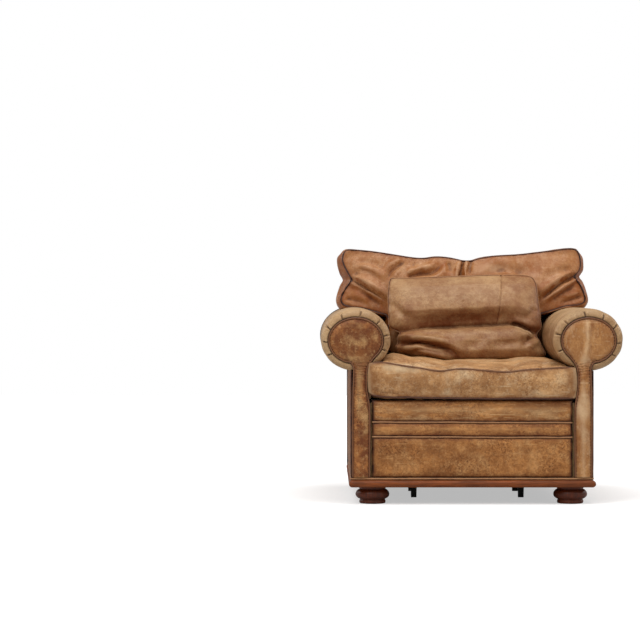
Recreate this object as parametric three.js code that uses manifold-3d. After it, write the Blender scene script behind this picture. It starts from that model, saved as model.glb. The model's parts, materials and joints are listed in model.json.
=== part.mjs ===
// A roll-arm leather club chair: a hardwood frame on a moulded plinth and bun feet, sinuous seat springs,
// padded leather panels, pleated roll arms with piped facings, and three loose feather cushions.
// Millimetres, +Z up, the front of the chair faces -Y, and the floor is Z = 0.
import * as THREE from 'three';
import { mergeVertices } from 'three/addons/utils/BufferGeometryUtils.js';
import Module from 'manifold-3d';

const wasm = await Module();
wasm.setup();

// Driving dimensions of the whole chair.
const armSpan = 1050; // outside to outside of the roll arms
const rollOverhang = 102; // how far each roll stands out past the side panel under it
const bodyWidth = armSpan - 2 * rollOverhang; // outside to outside of the side panels
const bodyDepth = 922; // arm facing to outside back
const footHeight = 59;
const plinthThickness = 25;
const plinthWidth = 106; // each board, from its moulded edge inwards
const plinthOverhang = { front: 14, side: 5, back: 6 };
const gap = 0.3; // clearance where one piece rests against another
const leather = 3; // a hide with its lining
const sidePanel = 6; // a hide over thin padding
const backPanel = 4;
const weltRadius = 3.2; // the piping cord in its leather
const baseWelt = 8.4; // height of the thicker piping above the plinth
const board = 22; // thickness of the frame's boards

// Roll arm: an ellipse in section, on a narrow padded wall.
const rollHalfWidth = 121;
const rollHalfHeight = 108;
const rollCentreHeight = 571;
const armThickness = 70; // the padded wall of the arm below the roll
const armWallX = bodyWidth / 2 - armThickness; // its inner face
const discHalfWidth = 93; // centreline of the piping round the facing
const discHalfHeight = 78;
const discDrop = 3; // how far the facing's middle lies below the roll's
const stemWidth = 57; // between the pipings at the foot of the facing
const neckWidth = 45; // and at its narrowest, under the scroll
const shoulderDepth = 30; // how far back the roll takes to reach its full section
const pleatCount = 8;
const pleatPitch = 33; // degrees between pleats
const pleatFirst = 202; // degrees, the lowest pleat on the inside
const pleatDepth = 6;
const pleatHalfAngle = 2.6; // degrees

// Seat, front border and cushions.
const seatHeight = 362; // top of the seat deck
const deckThickness = 6;
const borderSeams = [234, 285]; // heights of the two pipings across the front
const borderEdge = armWallX - 5; // half the width of the front border
const borderSet = 10; // how far its edges lie behind the arm facings
const borderCrown = 9;
const borderFace = 19; // from the facing plane back to the front rail
const seatCushionFit = 3.5; // clearance at each arm wall
const seatCushionLip = 2 * armWallX + 19; // width where it swells in front of the arms
const seatCushionOverhang = 9; // in front of the arm facings
const seatCushionBoxing = 108;
const seatCushionCrown = 36;
const backLean = 0.2; // how far the back leans for each millimetre of height
const backFoot = bodyDepth / 2 - 227; // where the inside back meets the seat deck
const backCushionTop = 892;
const backCushionEar = bodyWidth / 2 + 23; // half width over the arms
const backCushionThickness = 150;
const backCushionEars = [654, 682]; // height of its lower edge, at the waist and at the ends of the ears
const pillowRoom = 13; // between the pillow's side and the roll beside it
const pillowWidth = armSpan - 4 * rollHalfWidth - 2 * pillowRoom;
const pillowHeight = 282; // as it stands, slumped
const pillowThickness = 105;
const pillowShift = 5; // how far the loose pillow has slid to one side
const backHeight = 820; // top of the frame's back
const backHalfWidth = bodyWidth / 2 - 8;
const backRound = 42; // radius of its top corners
const backBand = 8; // thickness of the band round its top and sides
const backPad = 48; // thickness of the inside back

// Feet and hardware.
const footRadius = 59;
const footCollar = 46.5;
const footX = bodyWidth / 2 - 78;
const footInset = 66; // from the facing plane to the foot's centre
const boltRadius = 4;
const boltLength = 62; // above the foot
const legSize = 22;
const legX = footX - 153;
const legInsets = [331, 631]; // from the facing plane
const springCount = 4;
const springWire = 2; // radius
const springSwing = 26;
const springBends = 15;

const frontY = -bodyDepth / 2;
const backY = bodyDepth / 2;
const sideX = bodyWidth / 2;
const rollX = armSpan / 2 - rollHalfWidth;
const plinthTop = footHeight + plinthThickness;
const skirtFoot = plinthTop + baseWelt + 2 * gap; // where the leather begins
const rollTop = rollCentreHeight + rollHalfHeight;
const weltOffset = weltRadius + gap;
const railTop = seatHeight - deckThickness - 2 * springWire - 2 * gap;
const degrees = Math.PI / 180;

const colours = {
  leather: [0xa9743f, 0.55],
  welt: [0x3a2218, 0.6],
  wood: [0x4a2415, 0.35],
  beech: [0xb99566, 0.7],
  steel: [0x8a8d90, 0.4],
  black: [0x16130f, 0.6],
  cloth: [0x24211f, 0.95],
  padding: [0xd9cdb4, 0.95],
};

const chair = new THREE.Group();

function add(name, geometry, finish) {
  const [color, roughness] = colours[finish];
  const metalness = finish === 'steel' ? 1 : 0;
  const mesh = new THREE.Mesh(geometry, new THREE.MeshStandardMaterial({ color, roughness, metalness }));
  mesh.name = name;
  chair.add(mesh);
  return mesh;
}

// A geometry from points and triangles, turned so that its faces point out.
function bodyFrom(points, triangles) {
  let volume = 0;
  for (let i = 0; i < triangles.length; i += 3) {
    const [a, b, c] = [points[triangles[i]], points[triangles[i + 1]], points[triangles[i + 2]]];
    volume += a.dot(b.clone().cross(c));
  }
  const order = triangles.slice();
  if (volume < 0) {
    for (let i = 0; i < order.length; i += 3) [order[i + 1], order[i + 2]] = [order[i + 2], order[i + 1]];
  }
  const geometry = new THREE.BufferGeometry().setFromPoints(points);
  geometry.setIndex(order);
  return geometry;
}

function solidOf(geometry) {
  const bare = geometry.clone();
  bare.deleteAttribute('normal');
  bare.deleteAttribute('uv');
  const merged = mergeVertices(bare, 1e-4);
  return new wasm.Manifold(new wasm.Mesh({
    numProp: 3,
    vertProperties: merged.attributes.position.array,
    triVerts: new Uint32Array(merged.index.array),
  }));
}

function geometryOf(solid) {
  const mesh = solid.getMesh();
  const geometry = new THREE.BufferGeometry();
  const positions = new Float32Array(mesh.numVert * 3);
  for (let i = 0; i < mesh.numVert; i++) {
    positions.set(mesh.vertProperties.subarray(i * mesh.numProp, i * mesh.numProp + 3), i * 3);
  }
  geometry.setAttribute('position', new THREE.BufferAttribute(positions, 3));
  geometry.setIndex(new THREE.BufferAttribute(mesh.triVerts, 1));
  return geometry;
}

function cut(geometry, ...tools) {
  return geometryOf(tools.reduce((solid, tool) => solid.subtract(solidOf(tool)), solidOf(geometry)));
}

function mirrored(geometry) {
  const copy = geometry.clone();
  if (!copy.index) copy.setIndex([...Array(copy.attributes.position.count).keys()]);
  copy.scale(-1, 1, 1);
  const order = copy.index.array;
  for (let i = 0; i < order.length; i += 3) [order[i + 1], order[i + 2]] = [order[i + 2], order[i + 1]];
  return copy;
}

// A piece on the right and its mirror image on the left.
function addPair(name, geometry, finish) {
  add(`${name}_right`, geometry, finish);
  add(`${name}_left`, mirrored(geometry), finish);
}

function block(x0, x1, y0, y1, z0, z1) {
  const box = new THREE.BoxGeometry(x1 - x0, y1 - y0, z1 - z0);
  return box.translate((x0 + x1) / 2, (y0 + y1) / 2, (z0 + z1) / 2);
}

function rod(radius, x, y, z0, z1, sides = 12) {
  const cylinder = new THREE.CylinderGeometry(radius, radius, z1 - z0, sides);
  return cylinder.rotateX(Math.PI / 2).translate(x, y, (z0 + z1) / 2);
}

// An outline in X and Z pushed back along Y, from y0 to y1.
function pushed(points, y0, y1) {
  const shape = new THREE.Shape(points.map(([x, z]) => new THREE.Vector2(x, z)));
  const geometry = new THREE.ExtrudeGeometry(shape, { depth: y1 - y0, bevelEnabled: false });
  return geometry.rotateX(Math.PI / 2).translate(0, y1, 0);
}

// An outline in Y and Z pushed along X, from x0 to x1.
function pushedAcross(points, x0, x1) {
  const shape = new THREE.Shape(points.map(([y, z]) => new THREE.Vector2(y, z)));
  const geometry = new THREE.ExtrudeGeometry(shape, { depth: x1 - x0, bevelEnabled: false });
  const turn = new THREE.Matrix4().makeBasis(
    new THREE.Vector3(0, 1, 0), new THREE.Vector3(0, 0, 1), new THREE.Vector3(1, 0, 0),
  );
  return geometry.applyMatrix4(turn).translate(x0, 0, 0);
}

// A closed body between two faces given as grids of points, with a side of some rows that bulges outwards
// wherever it doesn't lie on what is under it.
function slab(front, back, rows = 1, bulge = 0) {
  const nu = front.length - 1;
  const nv = front[0].length - 1;
  const points = [...front.flat(), ...back.flat()];
  const index = (side, i, j) => side * (nu + 1) * (nv + 1) + i * (nv + 1) + j;
  const triangles = [];
  const quad = (a, b, c, d) => triangles.push(a, b, c, a, c, d);
  for (let i = 0; i < nu; i++) {
    for (let j = 0; j < nv; j++) {
      quad(index(0, i, j), index(0, i + 1, j), index(0, i + 1, j + 1), index(0, i, j + 1));
      quad(index(1, i, j), index(1, i, j + 1), index(1, i + 1, j + 1), index(1, i + 1, j));
    }
  }
  const rim = [];
  for (let i = 0; i < nu; i++) rim.push([i, 0]);
  for (let j = 0; j < nv; j++) rim.push([nu, j]);
  for (let i = nu; i > 0; i--) rim.push([i, nv]);
  for (let j = nv; j > 0; j--) rim.push([0, j]);
  const columns = rim.map(([i, j]) => {
    const [a, b] = [front[i][j], back[i][j]];
    const inner = [Math.min(Math.max(i, 1), nu - 1), Math.min(Math.max(j, 1), nv - 1)];
    const out = a.clone().sub(front[inner[0]][inner[1]]);
    const across = b.clone().sub(a).normalize();
    out.addScaledVector(across, -out.dot(across)).normalize();
    const swell = bulge * (1 + Math.min(out.z, 0));
    const column = [index(0, i, j)];
    for (let r = 1; r < rows; r++) {
      const point = a.clone().lerp(b, r / rows).addScaledVector(out, swell * Math.sin((Math.PI * r) / rows));
      column.push(points.push(point) - 1);
    }
    column.push(index(1, i, j));
    return column;
  });
  columns.forEach((column, k) => {
    const next = columns[(k + 1) % columns.length];
    for (let r = 0; r < rows; r++) quad(column[r], column[r + 1], next[r + 1], next[r]);
  });
  return bodyFrom(points, triangles);
}

function grid(us, vs, at) {
  return us.map((u) => vs.map((v) => new THREE.Vector3(...at(u, v))));
}

function spread(from, to, steps) {
  return Array.from({ length: steps + 1 }, (_, i) => from + ((to - from) * i) / steps);
}

function smooth(low, high, value) {
  const t = Math.min(Math.max((value - low) / (high - low), 0), 1);
  return t * t * (3 - 2 * t);
}

// An open line of points in X and Z moved sideways; a positive distance moves it to the left of its direction.
function moved(line, distance) {
  return line.map((point, i) => {
    const before = line[Math.max(i - 1, 0)];
    const after = line[Math.min(i + 1, line.length - 1)];
    const [dx, dz] = [after[0] - before[0], after[1] - before[1]];
    const length = Math.hypot(dx, dz);
    return [point[0] - (dz / length) * distance, point[1] + (dx / length) * distance];
  });
}

// Plinth: four mitred boards with a rounded outer edge, drilled for the feet.
function plinthBoards() {
  const x = sideX + plinthOverhang.side;
  const y0 = frontY - plinthOverhang.front;
  const y1 = backY + plinthOverhang.back;
  const round = plinthThickness / 2;
  const section = new THREE.Shape();
  section.moveTo(plinthWidth, -round);
  section.lineTo(plinthWidth, round);
  section.lineTo(round, round);
  section.absarc(round, 0, round, Math.PI / 2, (3 * Math.PI) / 2, false);
  const moulding = (length) => {
    const geometry = new THREE.ExtrudeGeometry(section, { depth: length, bevelEnabled: false, curveSegments: 5 });
    return geometry.translate(0, 0, -length / 2);
  };
  const wedge = (length) => {
    const outer = length / 2 - gap / 2;
    const inner = outer - plinthWidth;
    const plan = new THREE.Shape([
      new THREE.Vector2(0, -outer), new THREE.Vector2(plinthWidth, -inner),
      new THREE.Vector2(plinthWidth, inner), new THREE.Vector2(0, outer),
    ]);
    const prism = new THREE.ExtrudeGeometry(plan, { depth: plinthThickness * 2, bevelEnabled: false });
    return prism.rotateX(Math.PI / 2).translate(0, plinthThickness, 0);
  };
  // A board's own axes are depth, height and length; each is turned into its place.
  const placed = (length, turn, px, py) => {
    const mitred = geometryOf(solidOf(moulding(length)).intersect(solidOf(wedge(length))));
    return mitred.rotateX(Math.PI / 2).rotateZ(turn).translate(px, py, footHeight + round);
  };
  const footY = frontY + footInset;
  const holes = [[footX, footY], [-footX, footY], [footX, -footY], [-footX, -footY]].map(([hx, hy]) =>
    rod(boltRadius + gap, hx, hy, footHeight - 1, plinthTop + 1));
  const middle = (y0 + y1) / 2;
  add('plinth_front', cut(placed(2 * x, Math.PI / 2, 0, y0), ...holes), 'wood');
  add('plinth_back', cut(placed(2 * x, -Math.PI / 2, 0, y1), ...holes), 'wood');
  add('plinth_right', cut(placed(y1 - y0, Math.PI, x, middle), ...holes), 'wood');
  add('plinth_left', cut(placed(y1 - y0, 0, -x, middle), ...holes), 'wood');
}

// Turned bun feet, each with its threaded bolt, and the corner blocks above the plinth that the bolts go into.
function feet() {
  const sole = footCollar - 1;
  const bunFoot = 14;
  const bunHalf = (footHeight - bunFoot - 6) / 2;
  const bun = spread(-70, 70, 6).map((angle) => [
    footRadius - 22 + 22 * Math.cos(angle * degrees),
    bunFoot + bunHalf + (bunHalf / Math.sin(70 * degrees)) * Math.sin(angle * degrees),
  ]);
  const profile = [
    [0, 0], [sole - 3, 0], [sole, 3], [sole, bunFoot - 3], [sole - 3, bunFoot - 0.5], ...bun,
    [footCollar, footHeight - 4], [footCollar, footHeight - gap], [boltRadius, footHeight - gap],
    [boltRadius, footHeight + boltLength], [0, footHeight + boltLength],
  ];
  const foot = new THREE.LatheGeometry(profile.map(([r, z]) => new THREE.Vector2(r, z)), 18).rotateX(Math.PI / 2);
  const blockHeight = 46;
  const [inner, outer, half] = [26, 27, 23];
  const cornerBlock = cut(
    block(-inner, outer, -half, half, plinthTop + gap, plinthTop + blockHeight),
    rod(boltRadius + gap, 0, 0, plinthTop - 1, footHeight + boltLength + 1),
  );
  const y = frontY + footInset;
  for (const [where, py] of [['front', y], ['rear', -y]]) {
    addPair(`foot_${where}`, foot.clone().translate(footX, py, 0), 'wood');
    addPair(`corner_block_${where}`, cornerBlock.clone().translate(footX, py, 0), 'beech');
  }
}

// Two rails across the plinth with four short square legs that hold up the middle of the seat.
function centreSupports() {
  const railHalf = 20;
  const y0 = frontY - plinthOverhang.front + plinthWidth + gap;
  const y1 = backY + plinthOverhang.back - plinthWidth - gap;
  addPair('centre_rail', block(legX - railHalf, legX + railHalf, y0, y1, footHeight, plinthTop), 'beech');
  const taper = 0.88;
  for (const [where, inset] of [['front', legInsets[0]], ['rear', legInsets[1]]]) {
    const corner = legSize * Math.SQRT1_2;
    const leg = new THREE.CylinderGeometry(corner, corner * taper, footHeight - gap, 4);
    leg.rotateX(Math.PI / 2).rotateZ(Math.PI / 4);
    addPair(`centre_leg_${where}`, leg.translate(legX, frontY + inset, (footHeight - gap) / 2), 'black');
  }
}

// The frame above the plinth: posts, rails and a raked back.
const scrollThickness = 30; // the shaped front post
const scrollY = frontY + 6 + gap;
const rearPost = { x: [armWallX + 11, armWallX + 55], depth: 38 };
const rearPostY = backY - backPanel - gap - rearPost.depth;
const armRail = { x: [armWallX + 13, armWallX + 83], height: 28, foot: rollCentreHeight - 41 };
const stile = { x: [armWallX - 117, armWallX - 73], depth: 38, top: backHeight - 24 };
const sideRailX = armWallX + 22; // inner face of the rail under each side of the seat
const seatRailHeight = 105;
const lumbarRail = [backHeight - 260, backHeight - 200]; // heights of its lower and upper edges
const backFace = (z) => backFoot + (z - seatHeight) * backLean;
const stileFace = (z) => backFace(z) + backPad + gap;

// A raked board whose front face lies behind (or, with a negative set, before) the face of the stiles.
function raked(x0, x1, z0, z1, depth, set = 0) {
  const [low, high] = [stileFace(z0) + set, stileFace(z1) + set];
  return pushedAcross([[low, z0], [low + depth, z0], [high + depth, z1], [high, z1]], x0, x1);
}

function frame() {
  const scrollBack = scrollY + scrollThickness;
  const post = block(...rearPost.x, rearPostY, rearPostY + rearPost.depth, skirtFoot, armRail.foot);
  addPair('rear_post', post, 'beech');
  const rail = block(...armRail.x, scrollBack + gap, backY - backPanel - gap, armRail.foot + gap,
    armRail.foot + armRail.height);
  addPair('arm_rail', rail, 'beech');
  const railFoot = railTop - seatRailHeight;
  const sideRail = block(sideRailX, sideRailX + board, scrollBack + gap, rearPostY - gap, railFoot, railTop);
  addPair('side_rail', sideRail, 'beech');
  const frontX = weltInnerX + weltOffset - 1;
  const faceY = frontY + borderFace;
  add('front_rail', block(-frontX, frontX, faceY, faceY + board, plinthTop + gap, railTop), 'beech');
  const rearX = sideRailX - gap;
  add('rear_rail', raked(-rearX, rearX, railFoot, railTop, board, -board - gap), 'beech');
  addPair('back_stile', raked(...stile.x, railFoot, stile.top, stile.depth), 'beech');
  add('lumbar_rail', raked(-stile.x[0] + gap, stile.x[0] - gap, ...lumbarRail, board), 'beech');
  const topX = backHalfWidth - backRound - 1;
  const topRail = block(-topX, topX, stileFace(backHeight), backY - backPanel - gap, stile.top + gap,
    backHeight - backBand - gap);
  add('back_top_rail', topRail, 'beech');
}

// Sinuous springs: flat zigzags of wire from the front rail to the rear rail.
function springs() {
  const y0 = frontY + borderFace + board / 2;
  const y1 = stileFace(railTop) - board / 2 - gap;
  const section = new THREE.Shape();
  section.absarc(0, 0, springWire, 0, 2 * Math.PI, false);
  const points = spread(0, 1, springBends * 4).map((t) => {
    const ends = Math.min(1, Math.min(t, 1 - t) * springBends);
    return new THREE.Vector3(springSwing * ends * Math.sin(t * springBends * Math.PI), y0 + (y1 - y0) * t, 0);
  });
  const path = new THREE.CatmullRomCurve3(points);
  const options = { steps: springBends * 4, curveSegments: 3, extrudePath: path, bevelEnabled: false };
  const wire = new THREE.ExtrudeGeometry(section, options).translate(0, 0, railTop + springWire + gap);
  for (let i = 0; i < springCount; i++) {
    const x = ((i + 0.5) / springCount - 0.5) * 2 * (armWallX - springSwing);
    add(`seat_spring_${i + 1}`, wire.clone().translate(x, 0, 0), 'steel');
  }
}

// The facing's piping on the right arm: up the inside of the post, round the scroll and down the outside.
const weltInnerX = armWallX + leather + 1;
const neckInnerX = weltInnerX + 9;
const discFrom = 225; // degrees, where the scroll leaves the neck on the inside
const discTo = -80; // degrees, where it meets the neck on the outside
const coverTo = -76; // degrees, where the cover's front edge ends
const discCentre = rollCentreHeight - discDrop;

function discPoint(angle, grow = 0) {
  const [a, b] = [discHalfWidth + grow, discHalfHeight + grow];
  return [rollX + a * Math.cos(angle * degrees), discCentre + b * Math.sin(angle * degrees)];
}

function facingLine() {
  const [stemOuter, neckOuter] = [weltInnerX + stemWidth, neckInnerX + neckWidth];
  const discFoot = discCentre - discHalfHeight;
  const inner = [
    [weltInnerX, skirtFoot], [weltInnerX, seatHeight - 26], [weltInnerX + 4, seatHeight + 2],
    [neckInnerX, seatHeight + 34], [neckInnerX, discFoot - 31], [neckInnerX - 6, discFoot - 7],
  ];
  const arc = spread(discFrom, discTo, 20).map((angle) => discPoint(angle));
  const outer = [
    [neckOuter, discFoot - 16], [neckOuter, discFoot - 40], [stemOuter, seatHeight - 20], [stemOuter, skirtFoot],
  ];
  return new THREE.CatmullRomCurve3([...inner, ...arc, ...outer].map(([x, z]) => new THREE.Vector3(x, frontY + 3, z)));
}

// Facing: a keyhole-shaped padded leather panel on the shaped front post, edged with piping.
function facings() {
  const steps = 50;
  const path = facingLine();
  const edge = moved(path.getSpacedPoints(steps).map(({ x, z }) => [x, z]), -weltOffset);
  // Each layer is set in by an amount and lies at a distance behind the facing plane.
  const layers = [[0, 6], [0, 3.5], [2.5, 0], [9, -2]];
  const rings = layers.map(([inset, y]) => moved(edge, -inset).map(([x, z]) =>
    new THREE.Vector3(x, frontY + y, Math.max(z, skirtFoot + inset))));
  const n = edge.length;
  const triangles = [];
  for (let r = 0; r + 1 < rings.length; r++) {
    for (let i = 0; i < n; i++) {
      const [a, b] = [r * n + i, r * n + ((i + 1) % n)];
      triangles.push(a, b, b + n, a, b + n, a + n);
    }
  }
  const cap = (r, flip) => {
    const flat = rings[r].map(({ x, z }) => new THREE.Vector2(x, z));
    for (const [a, b, c] of THREE.ShapeUtils.triangulateShape(flat, [])) {
      triangles.push(r * n + a, r * n + (flip ? c : b), r * n + (flip ? b : c));
    }
  };
  cap(0, false);
  cap(rings.length - 1, true);
  addPair('arm_facing', bodyFrom(rings.flat(), triangles), 'leather');
  const postInset = 1;
  const post = moved(edge, -postInset);
  addPair('front_post', pushed(post, scrollY, scrollY + scrollThickness), 'beech');
  const section = new THREE.Shape();
  section.absarc(0, 0, weltRadius, 0, 2 * Math.PI, false);
  const options = { steps, curveSegments: 3, extrudePath: path, bevelEnabled: false };
  addPair('arm_welt', new THREE.ExtrudeGeometry(section, options), 'welt');
}

// Angles round the roll at which its section has points: the sides and bottom of each pleat, and between pleats.
const rollFrom = 180 + Math.acos((rollX - armWallX) / rollHalfWidth) / degrees;
const rollTo = -82;

function rollAngles() {
  const angles = [rollFrom, (rollFrom + pleatFirst) / 2];
  for (let i = 0; i < pleatCount; i++) {
    const centre = pleatFirst - i * pleatPitch;
    angles.push(centre + pleatHalfAngle, centre, centre - pleatHalfAngle, centre - pleatPitch / 2);
  }
  const last = angles[angles.length - 1];
  return [...angles, last + (rollTo - last) / 2, rollTo];
}

// The arm's section at its full size (share 1) or at the piping (share 0), set in by a depth.
const wallPoints = 3;

function armSection(share, depth) {
  const wallX = armWallX + depth;
  const [a, b] = [rollHalfWidth - depth, rollHalfHeight - depth];
  const start = 180 + Math.acos((rollX - wallX) / a) / degrees;
  const wallFoot = seatHeight + 5;
  const wallTop = rollCentreHeight + b * Math.sin(start * degrees);
  const wall = spread(wallFoot, wallTop, wallPoints).slice(0, wallPoints).map((z) => [wallX, z]);
  const grow = weltOffset + leather - depth;
  const corner = [wallX, discCentre - discHalfHeight - 8];
  const roll = rollAngles().map((angle) => {
    const turned = angle === rollFrom ? start : angle;
    const full = [rollX + a * Math.cos(turned * degrees), rollCentreHeight + b * Math.sin(turned * degrees)];
    let small = discPoint(Math.max(turned, coverTo), grow);
    if (turned > discFrom) {
      const t = (turned - discFrom) / (start - discFrom);
      const from = discPoint(discFrom, grow);
      small = [from[0] + (corner[0] - from[0]) * t, from[1] + (corner[1] - from[1]) * t];
    }
    return [small[0] + (full[0] - small[0]) * share, small[1] + (full[1] - small[1]) * share];
  });
  return [...wall, ...roll];
}

// One hide over the arm: up the inside wall and round the roll, drawn in over the front edge in radial pleats.
function armCovers() {
  const angles = rollAngles();
  const isPleat = (i) => i >= wallPoints + 2 && (i - wallPoints - 3) % 4 === 0 && i - wallPoints < angles.length - 2;
  const shoulder = [0, 0.22, 0.5, 0.78, 1];
  const edgeY = frontY + 2;
  const station = (t, depth) => {
    const share = Math.sin((t * Math.PI) / 2);
    const y = edgeY + depth + shoulderDepth * (1 - Math.cos((t * Math.PI) / 2));
    return armSection(share, depth).map(([x, z], i) => {
      const sink = isPleat(i) ? pleatDepth * Math.sin(Math.PI * t ** 0.6) : 0;
      const [dx, dz] = [rollX - x, rollCentreHeight - z];
      const length = Math.hypot(dx, dz);
      return new THREE.Vector3(x + (dx / length) * sink, y + sink / 2, z + (dz / length) * sink);
    });
  };
  const end = (depth) => armSection(1, depth).map(([x, z]) => new THREE.Vector3(x, backY - backPanel - gap, z));
  const outer = [...shoulder.map((t) => station(t, 0)), end(0)];
  const inner = [...shoulder.map((t) => station(t, leather)), end(leather)];
  addPair('arm_cover', slab(outer, inner), 'leather');
}

// Padding that fills the roll behind its shoulder, with the frame's rail and rear post let into it.
function armPadding() {
  const line = armSection(1, leather + gap).slice(wallPoints);
  const roll = pushed(line, frontY + shoulderDepth + 8, backY - backPanel - 2 * gap);
  const post = block(rearPost.x[0] - gap, rearPost.x[1] + gap, rearPostY - gap, backY, plinthTop, armRail.foot + 1);
  const railRoom = { foot: armRail.foot, top: armRail.foot + armRail.height + gap };
  const rail = block(armRail.x[0] - gap, armRail.x[1] + gap, frontY, backY, railRoom.foot, railRoom.top);
  addPair('arm_padding', cut(roll, post, rail), 'padding');
}

// Outside panels: one on each side, and one across the back with the ends of both rolls.
function outsidePanels() {
  const underRoll = rollCentreHeight - rollHalfHeight - 4;
  const sideFront = frontY + 3 + weltRadius + gap;
  const side = block(sideX - sidePanel, sideX, sideFront, backY - backPanel - gap, skirtFoot, underRoll);
  addPair('side_panel', side, 'leather');
  const meet = Math.acos((backHalfWidth - rollX) / rollHalfWidth) / degrees;
  const lobe = spread(rollTo, meet, 22).map((angle) => [
    rollX + rollHalfWidth * Math.cos(angle * degrees), rollCentreHeight + rollHalfHeight * Math.sin(angle * degrees),
  ]);
  const half = [[sideX, skirtFoot], [sideX, underRoll], ...lobe, ...backCorner(0)];
  const outline = [...half, ...half.map(([x, z]) => [-x, z]).reverse()];
  add('outside_back', pushed(outline, backY - backPanel, backY), 'leather');
}

// The rounded top corner of the back on the right, set in by an amount, from its side to its top.
function backCorner(inset) {
  const [x, z] = [backHalfWidth - backRound, backHeight - backRound];
  return spread(0, 90, 6).map((angle) => [
    x + (backRound - inset) * Math.cos(angle * degrees), z + (backRound - inset) * Math.sin(angle * degrees),
  ]);
}

// The inner side of the arm at a height: its wall, and the inside of the roll above it.
function armInside(z) {
  const share = Math.min(Math.abs(z - rollCentreHeight) / rollHalfHeight, 1);
  const inside = rollX - rollHalfWidth * Math.sqrt(1 - share * share);
  return z < rollCentreHeight ? Math.min(inside, armWallX) : inside;
}

// Inside back: a raked padded slab that fits round the rolls and widens over them, and the band that closes it.
function insideBack() {
  const clear = 4;
  const over = rollTop + clear;
  const top = backHeight - backBand - gap;
  const wide = backHalfWidth - backBand - 1;
  const roundFrom = backHeight - backRound;
  const round = backRound - backBand - 1;
  const halfAt = (z) => {
    if (z < over) return armInside(Math.min(z, rollTop - 12)) - clear;
    return wide - round + Math.sqrt(round ** 2 - Math.max(0, z - roundFrom) ** 2);
  };
  const shoulders = spread(0, 75, 5).map((angle) => roundFrom + round * Math.sin(angle * degrees));
  const low = seatHeight + gap;
  // Levels round the roll, as shares of its half height above and below its centre.
  const roundRoll = [-0.88, -0.66, -0.33, 0, 0.45, 0.78, 0.935].map((t) => rollCentreHeight + t * rollHalfHeight);
  const levels = [low, (low + roundRoll[0]) / 2, ...roundRoll, over - 0.5, over, (over + roundFrom) / 2, ...shoulders];
  const across = spread(-1, 1, 8);
  const front = grid(levels, across, (z, s) => [s * halfAt(z), backFace(z), z]);
  const rear = grid(levels, across, (z, s) => [s * halfAt(z), backFace(z) + backPad, z]);
  add('inside_back', slab(front, rear), 'leather');
  const arch = (inset) => {
    const half = [[backHalfWidth - inset, over], ...backCorner(inset)];
    return [...half, ...half.map(([x, z]) => [-x, z]).reverse()];
  };
  const bandFront = backFace(backHeight) + gap;
  add('back_band', pushed([...arch(0), ...arch(backBand).reverse()], bandFront, backY - backPanel - gap), 'leather');
}

// Front border: three padded bands with piping between them, and a thicker piping all round above the plinth.
function frontBorder() {
  const back = frontY + borderFace - gap;
  const seam = weltRadius + gap;
  const limits = [[skirtFoot, borderSeams[0] - seam], [borderSeams[0] + seam, borderSeams[1] - seam],
    [borderSeams[1] + seam, seatHeight - 1]];
  const crown = (s, t) => (1 - s ** 6) * (1 - t ** 4) * borderCrown;
  const us = [-1, -0.94, -0.5, 0, 0.5, 0.94, 1];
  const vs = [-1, -0.75, 0, 0.75, 1];
  ['lower', 'middle', 'upper'].forEach((name, i) => {
    const [z0, z1] = limits[i];
    const at = (y) => (s, t) => [s * borderEdge, y(s, t), (z0 + z1) / 2 + (t * (z1 - z0)) / 2];
    const front = grid(us, vs, at((s, t) => frontY + borderSet - crown(s, t)));
    const rear = grid(us, vs, at(() => back));
    add(`front_border_${name}`, slab(front, rear), 'leather');
  });
  ['lower', 'upper'].forEach((name, i) => {
    const tube = new THREE.CylinderGeometry(weltRadius, weltRadius, 2 * borderEdge, 8).rotateZ(Math.PI / 2);
    add(`border_welt_${name}`, tube.translate(0, frontY + borderSet, borderSeams[i]), 'welt');
  });
  const bevel = 3;
  const width = 9;
  const ring = (inset) => [
    [-sideX + inset, frontY - 1 + inset], [sideX - inset, frontY - 1 + inset],
    [sideX - inset, backY - inset], [-sideX + inset, backY - inset],
  ].map(([x, y]) => new THREE.Vector2(x, y));
  const shape = new THREE.Shape(ring(bevel));
  shape.holes.push(new THREE.Path(ring(width - bevel).reverse()));
  const options = { depth: baseWelt - 2 * bevel, bevelThickness: bevel, bevelSize: bevel, bevelSegments: 2 };
  add('base_welt', new THREE.ExtrudeGeometry(shape, options).translate(0, 0, plinthTop + gap + bevel), 'welt');
}

// The seat deck over the springs, and the black cloth tacked under the plinth, cut round feet and legs.
function decks() {
  const half = armWallX - 1;
  const rear = stileFace(railTop) - gap;
  add('seat_deck', block(-half, half, frontY + borderFace, rear, seatHeight - deckThickness, seatHeight), 'cloth');
  const edge = 70;
  const [x, y] = [sideX - edge, backY - edge];
  const sheet = block(-x, x, -y, y, footHeight - 1.6, footHeight - gap);
  const [low, high] = [footHeight - 5, footHeight + 5];
  const holes = [];
  for (const side of [-1, 1]) {
    for (const end of [-1, 1]) {
      holes.push(rod(footCollar + 3, side * footX, end * (frontY + footInset), low, high, 20));
    }
    for (const inset of legInsets) {
      const [lx, ly] = [side * legX, frontY + inset];
      const room = legSize / 2 + 2;
      holes.push(block(lx - room, lx + room, ly - room, ly + room, low, high));
    }
  }
  add('dust_cover', cut(sheet, ...holes), 'cloth');
}

// The height of the underside of the roll at a place beside the seat.
function underRoll(x) {
  const share = Math.min(Math.abs(rollX - x) / rollHalfWidth, 1);
  return rollCentreHeight - rollHalfHeight * Math.sqrt(1 - share * share);
}

// Seat cushion: boxed, puffed up in lobes, tucked under the rolls and swollen in front of the arms.
const seatCushionFoot = seatHeight + gap;
const seatCushionTop = seatCushionFoot + seatCushionBoxing + seatCushionCrown;

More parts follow.
